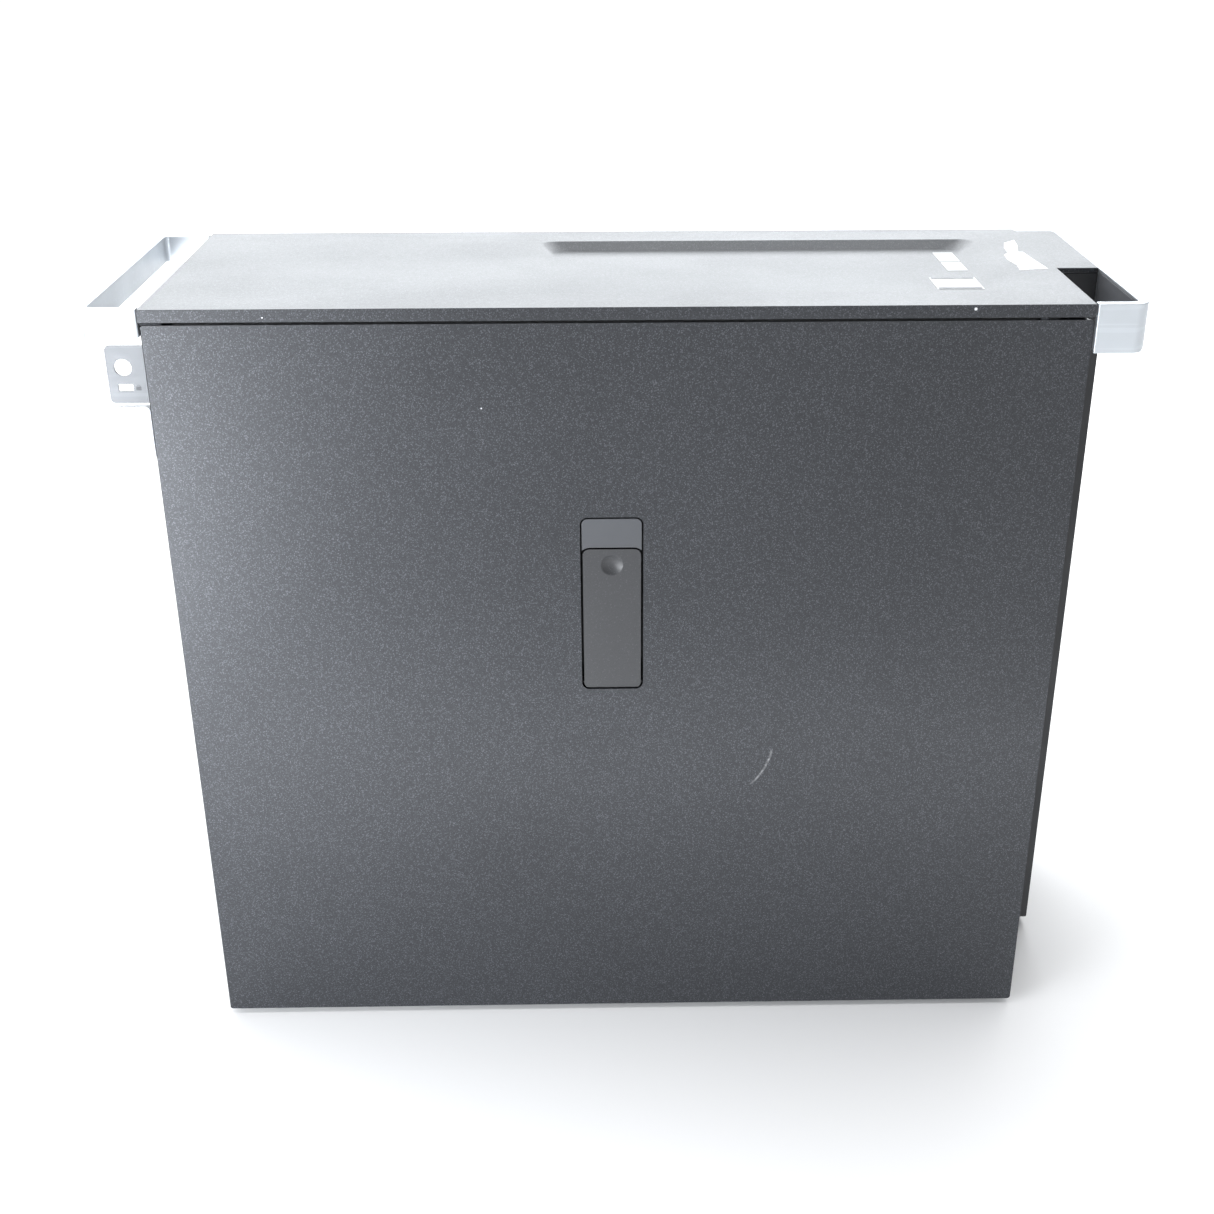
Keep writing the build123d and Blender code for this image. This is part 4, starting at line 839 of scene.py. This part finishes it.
@dataclass
class LockTab(SubAssembly):
    """The padlock tab with a tiny plain padlock sign printed on it."""

    def details(self, shop: Workshop) -> int:
        """Print the padlock sign: a filled body and an open bow.

        Args:
            shop: The workshop.

        Returns:
            How many pieces were added.
        """
        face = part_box("lock_tab")[0].x
        ink = shop.own(MouldedPlastic("printed_sign_ink", (0.05, 0.052, 0.058), Moulding.SATIN))
        body = panel((face - 0.03 * MM, face + 0.02 * MM), (232.9 * MM, 235.5 * MM), (377.0 * MM, 378.9 * MM),
                     0.3 * MM, 0)
        shop.place(body, "padlock_sign_body", "chassis", ink, False)
        bow = bmesh.new()
        middle = Vector((face, 234.2 * MM, 378.9 * MM))
        profile = [bow.verts.new(middle + Vector((dx * MM, dy * MM, 0.0)))
                   for dx, dy in ((-0.03, 0.65), (0.02, 0.65), (0.02, 0.95), (-0.03, 0.95))]
        ring = bow.faces.new(profile)
        bmesh.ops.spin(bow, geom=[ring], cent=middle, axis=(1.0, 0.0, 0.0), angle=math.pi, steps=10)
        bmesh.ops.recalc_face_normals(bow, faces=bow.faces)
        shop.place(bow, "padlock_sign_bow", "chassis", ink, False)
        return 2


@dataclass
class Handles(SubAssembly):
    """The silver handles, and the front hand opening's liner in a lighter grey than its dark plastic, as painted light.
    """

    def details(self, shop: Workshop) -> int:
        """Give the hand opening's liner a satin mid grey moulding in place of its dark plastic, as painted light
        standing in for the light that falls into the opening.

        Args:
            shop: The workshop.

        Returns:
            How many pieces were added.
        """
        # painted light: this mid grey stands in for light falling into the hand opening; the liner's own plastic is
        # dark
        painted_light_liner_finish = shop.own(MouldedPlastic("grip_liner_painted_light", (0.15, 0.155, 0.17), Moulding.SATIN))
        piece = shop.ease("front_grip_liner", 0.2 * MM)
        piece.data.materials[0] = painted_light_liner_finish
        return 1


def sub_assemblies() -> list[SubAssembly]:
    """Every sub-assembly of the tower, outer ones first.

    Returns:
        The sub-assemblies.
    """
    return [
        TopCover("top cover", eased={"top_cover": 0.7}),
        SubAssembly("side covers", eased={"side_cover": 0.8, "far_side_cover": 0.8}),
        SubAssembly("cover latch", kept=("latch_spring",),
                    eased={"latch_lever": 0.3, "latch_button": 0.3, "latch_housing": 0.25}),
        Handles("handles",
                    eased={"front_handle": 0.9, "front_module_trim": 0.9, "rear_handle": 1.0}, segments=3),
        SubAssembly("front module", kept=("column_grille", "recess_grille", "front_io_board", "disc_drive_case"),
                    eased={"front_column": 0.8, "recess_bezel": 0.5, "power_button": 0.5, "front_ports": 0.3,
                           "disc_tray": 0.4, "eject_button": 0.2}),
        LockTab("padlock tab", eased={"lock_tab": 0.25}),
        SubAssembly("rear", kept=("rear_wall", "rear_ports", "io_shield", "slot_brackets", "retainer_pin",
                                  "rear_fan_rotor"),
                    eased={"ribbed_catch": 0.3, "slot_retainer": 0.4}),
        SubAssembly("power supply", kept=("supply_fan_frame", "supply_fan_rotor", "supply_dock"),
                    eased={"supply_case": 0.5, "supply_inlet": 0.3, "supply_handle": 0.5, "supply_release": 0.3}),
        SubAssembly("base and walls", kept=("base_pan", "front_wall", "board_tray", "supply_shelf", "top_frame",
                                            "case_screws"),
                    eased={"rubber_feet": 0.6}),
        SubAssembly("boards", kept=("main_board", "board_standoffs", "board_sockets", "memory_modules", "cooler",
                                    "cooler_fan_rotor", "card_board", "card_shroud", "card_rotor")),
        SubAssembly("fans and drives", kept=("fan_frames", "upper_fan_rotor", "lower_fan_rotor", "drive_cage",
                                             "drive_carriers", "hard_drives", "inner_leads")),
    ]


@dataclass
class Studio:
    """White studio: floor, sky, soft boxes and the camera."""

    floor_size: float = 60.0
    far_glow: float = 0.62
    lens: float = 48.33
    shift: tuple[float, float] = (-0.0174, 0.0331)
    eye: Point = (-0.8625, 0.00905, 0.61207)
    right: Point = (-0.0194, -0.9998, -0.0014)
    up: Point = (0.4361, -0.0097, 0.8998)
    look: Point = (0.8997, -0.0168, -0.4362)

    def build(self) -> None:
        """Make the floor, the sky, the lights and the camera."""
        self.floor()
        self.sky()
        self.box("far_box", (2.3, 0.1, 1.35), (0.0, 0.0, 0.35), (2.6, 1.1), 44.0, (0.93, 0.97, 1.0))
        self.box("rear_box", (-0.56, 0.58, 0.14), (-0.09, 0.2, 0.28), (0.45, 0.5), 11.0, (0.93, 0.96, 1.0))
        self.box("low_box", (-0.38, -0.05, 0.02), (-0.09, -0.05, 0.05), (0.8, 0.04), 0.32, (0.96, 0.98, 1.0))
        self.box("top_box", (0.5, 0.0, 2.6), (0.0, 0.0, 0.0), (2.4, 2.4), 66.0, (1.0, 1.0, 1.0))
        self.camera()

    def floor(self) -> None:
        """A pale floor under the feet."""
        shape = bmesh.new()
        bmesh.ops.create_grid(shape, x_segments=1, y_segments=1, size=self.floor_size / 2)
        mesh = bpy.data.meshes.new("studio_floor")
        shape.to_mesh(mesh)
        shape.free()
        bench = Bench("pale_floor")
        cloud = bench.span(bench.noise(1.5, 2.0), 0.3, 0.7)
        bench.link(bench.blend(cloud, (0.94, 0.94, 0.94), (0.92, 0.92, 0.925)), bench.shader.inputs["Base Color"])
        far = bench.tree.nodes.new("ShaderNodeVectorMath")
        far.operation = "LENGTH"
        bench.link(bench.place, far.inputs[0])
        glow = bench.span(far.outputs["Value"], 0.7, 2.6, 0.0, self.far_glow)
        bench.link(glow, bench.shader.inputs["Emission Strength"])
        bench.plain(Roughness=0.9, Specular_IOR_Level=0.1)
        bench.shader.inputs["Emission Color"].default_value = (1.0, 1.0, 1.0, 1.0)
        mesh.materials.append(bench.material)
        floor = bpy.data.objects.new("studio_floor", mesh)
        bpy.context.scene.collection.objects.link(floor)
        floor.location.z = -0.0005

    def sky(self) -> None:
        """An even white surround."""
        world = bpy.data.worlds.new("white_surround")
        bpy.context.scene.world = world
        world.use_nodes = True
        tree = world.node_tree
        tree.nodes.clear()
        lit = tree.nodes.new("ShaderNodeBackground")
        lit.inputs["Color"].default_value = (0.96, 0.98, 1.0, 1.0)
        lit.inputs["Strength"].default_value = 0.5
        seen = tree.nodes.new("ShaderNodeBackground")
        seen.inputs["Color"].default_value = (1.0, 1.0, 1.0, 1.0)
        seen.inputs["Strength"].default_value = 1.15
        path = tree.nodes.new("ShaderNodeLightPath")
        mix = tree.nodes.new("ShaderNodeMixShader")
        out = tree.nodes.new("ShaderNodeOutputWorld")
        tree.links.new(path.outputs["Is Camera Ray"], mix.inputs["Fac"])
        tree.links.new(lit.outputs["Background"], mix.inputs[1])
        tree.links.new(seen.outputs["Background"], mix.inputs[2])
        tree.links.new(mix.outputs["Shader"], out.inputs["Surface"])

    def box(self, name: str, place: Point, target: Point, size: tuple[float, float], power: float,
            tint: Colour) -> None:
        """A soft box that faces a point.

        Args:
            name: The light's name.
            place: Where it stands.
            target: What it faces.
            size: Its width and height.
            power: Its power in watts.
            tint: Its colour.
        """
        data = bpy.data.lights.new(name, "AREA")
        data.color = tint
        data.shape = "RECTANGLE"
        data.size, data.size_y = size
        data.energy = power
        light = bpy.data.objects.new(name, data)
        bpy.context.scene.collection.objects.link(light)
        light.location = place
        light.rotation_euler = (Vector(target) - Vector(place)).to_track_quat("-Z", "Y").to_euler()

    def camera(self) -> None:
        """The camera, looking down on the access side."""
        data = bpy.data.cameras.new("camera")
        data.sensor_width = 36.0
        data.lens = self.lens
        data.shift_x, data.shift_y = self.shift
        data.clip_start = 0.02
        camera = bpy.data.objects.new("camera", data)
        bpy.context.scene.collection.objects.link(camera)
        axes = Matrix((self.right, self.up, tuple(-v for v in self.look))).transposed().to_4x4()
        camera.matrix_world = Matrix.Translation(self.eye) @ axes
        bpy.context.scene.camera = camera


def main() -> None:
    """Build every sub-assembly and the studio."""
    logging.basicConfig(level=logging.INFO, format="%(message)s")
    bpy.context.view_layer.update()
    bpy.context.scene.view_settings.view_transform = "Standard"
    shop = Workshop()
    total = sum(part.build(shop) for part in sub_assemblies())
    LOG.info("pieces in all: %d", total)
    Studio().build()


if __name__ == "__main__":
    main()
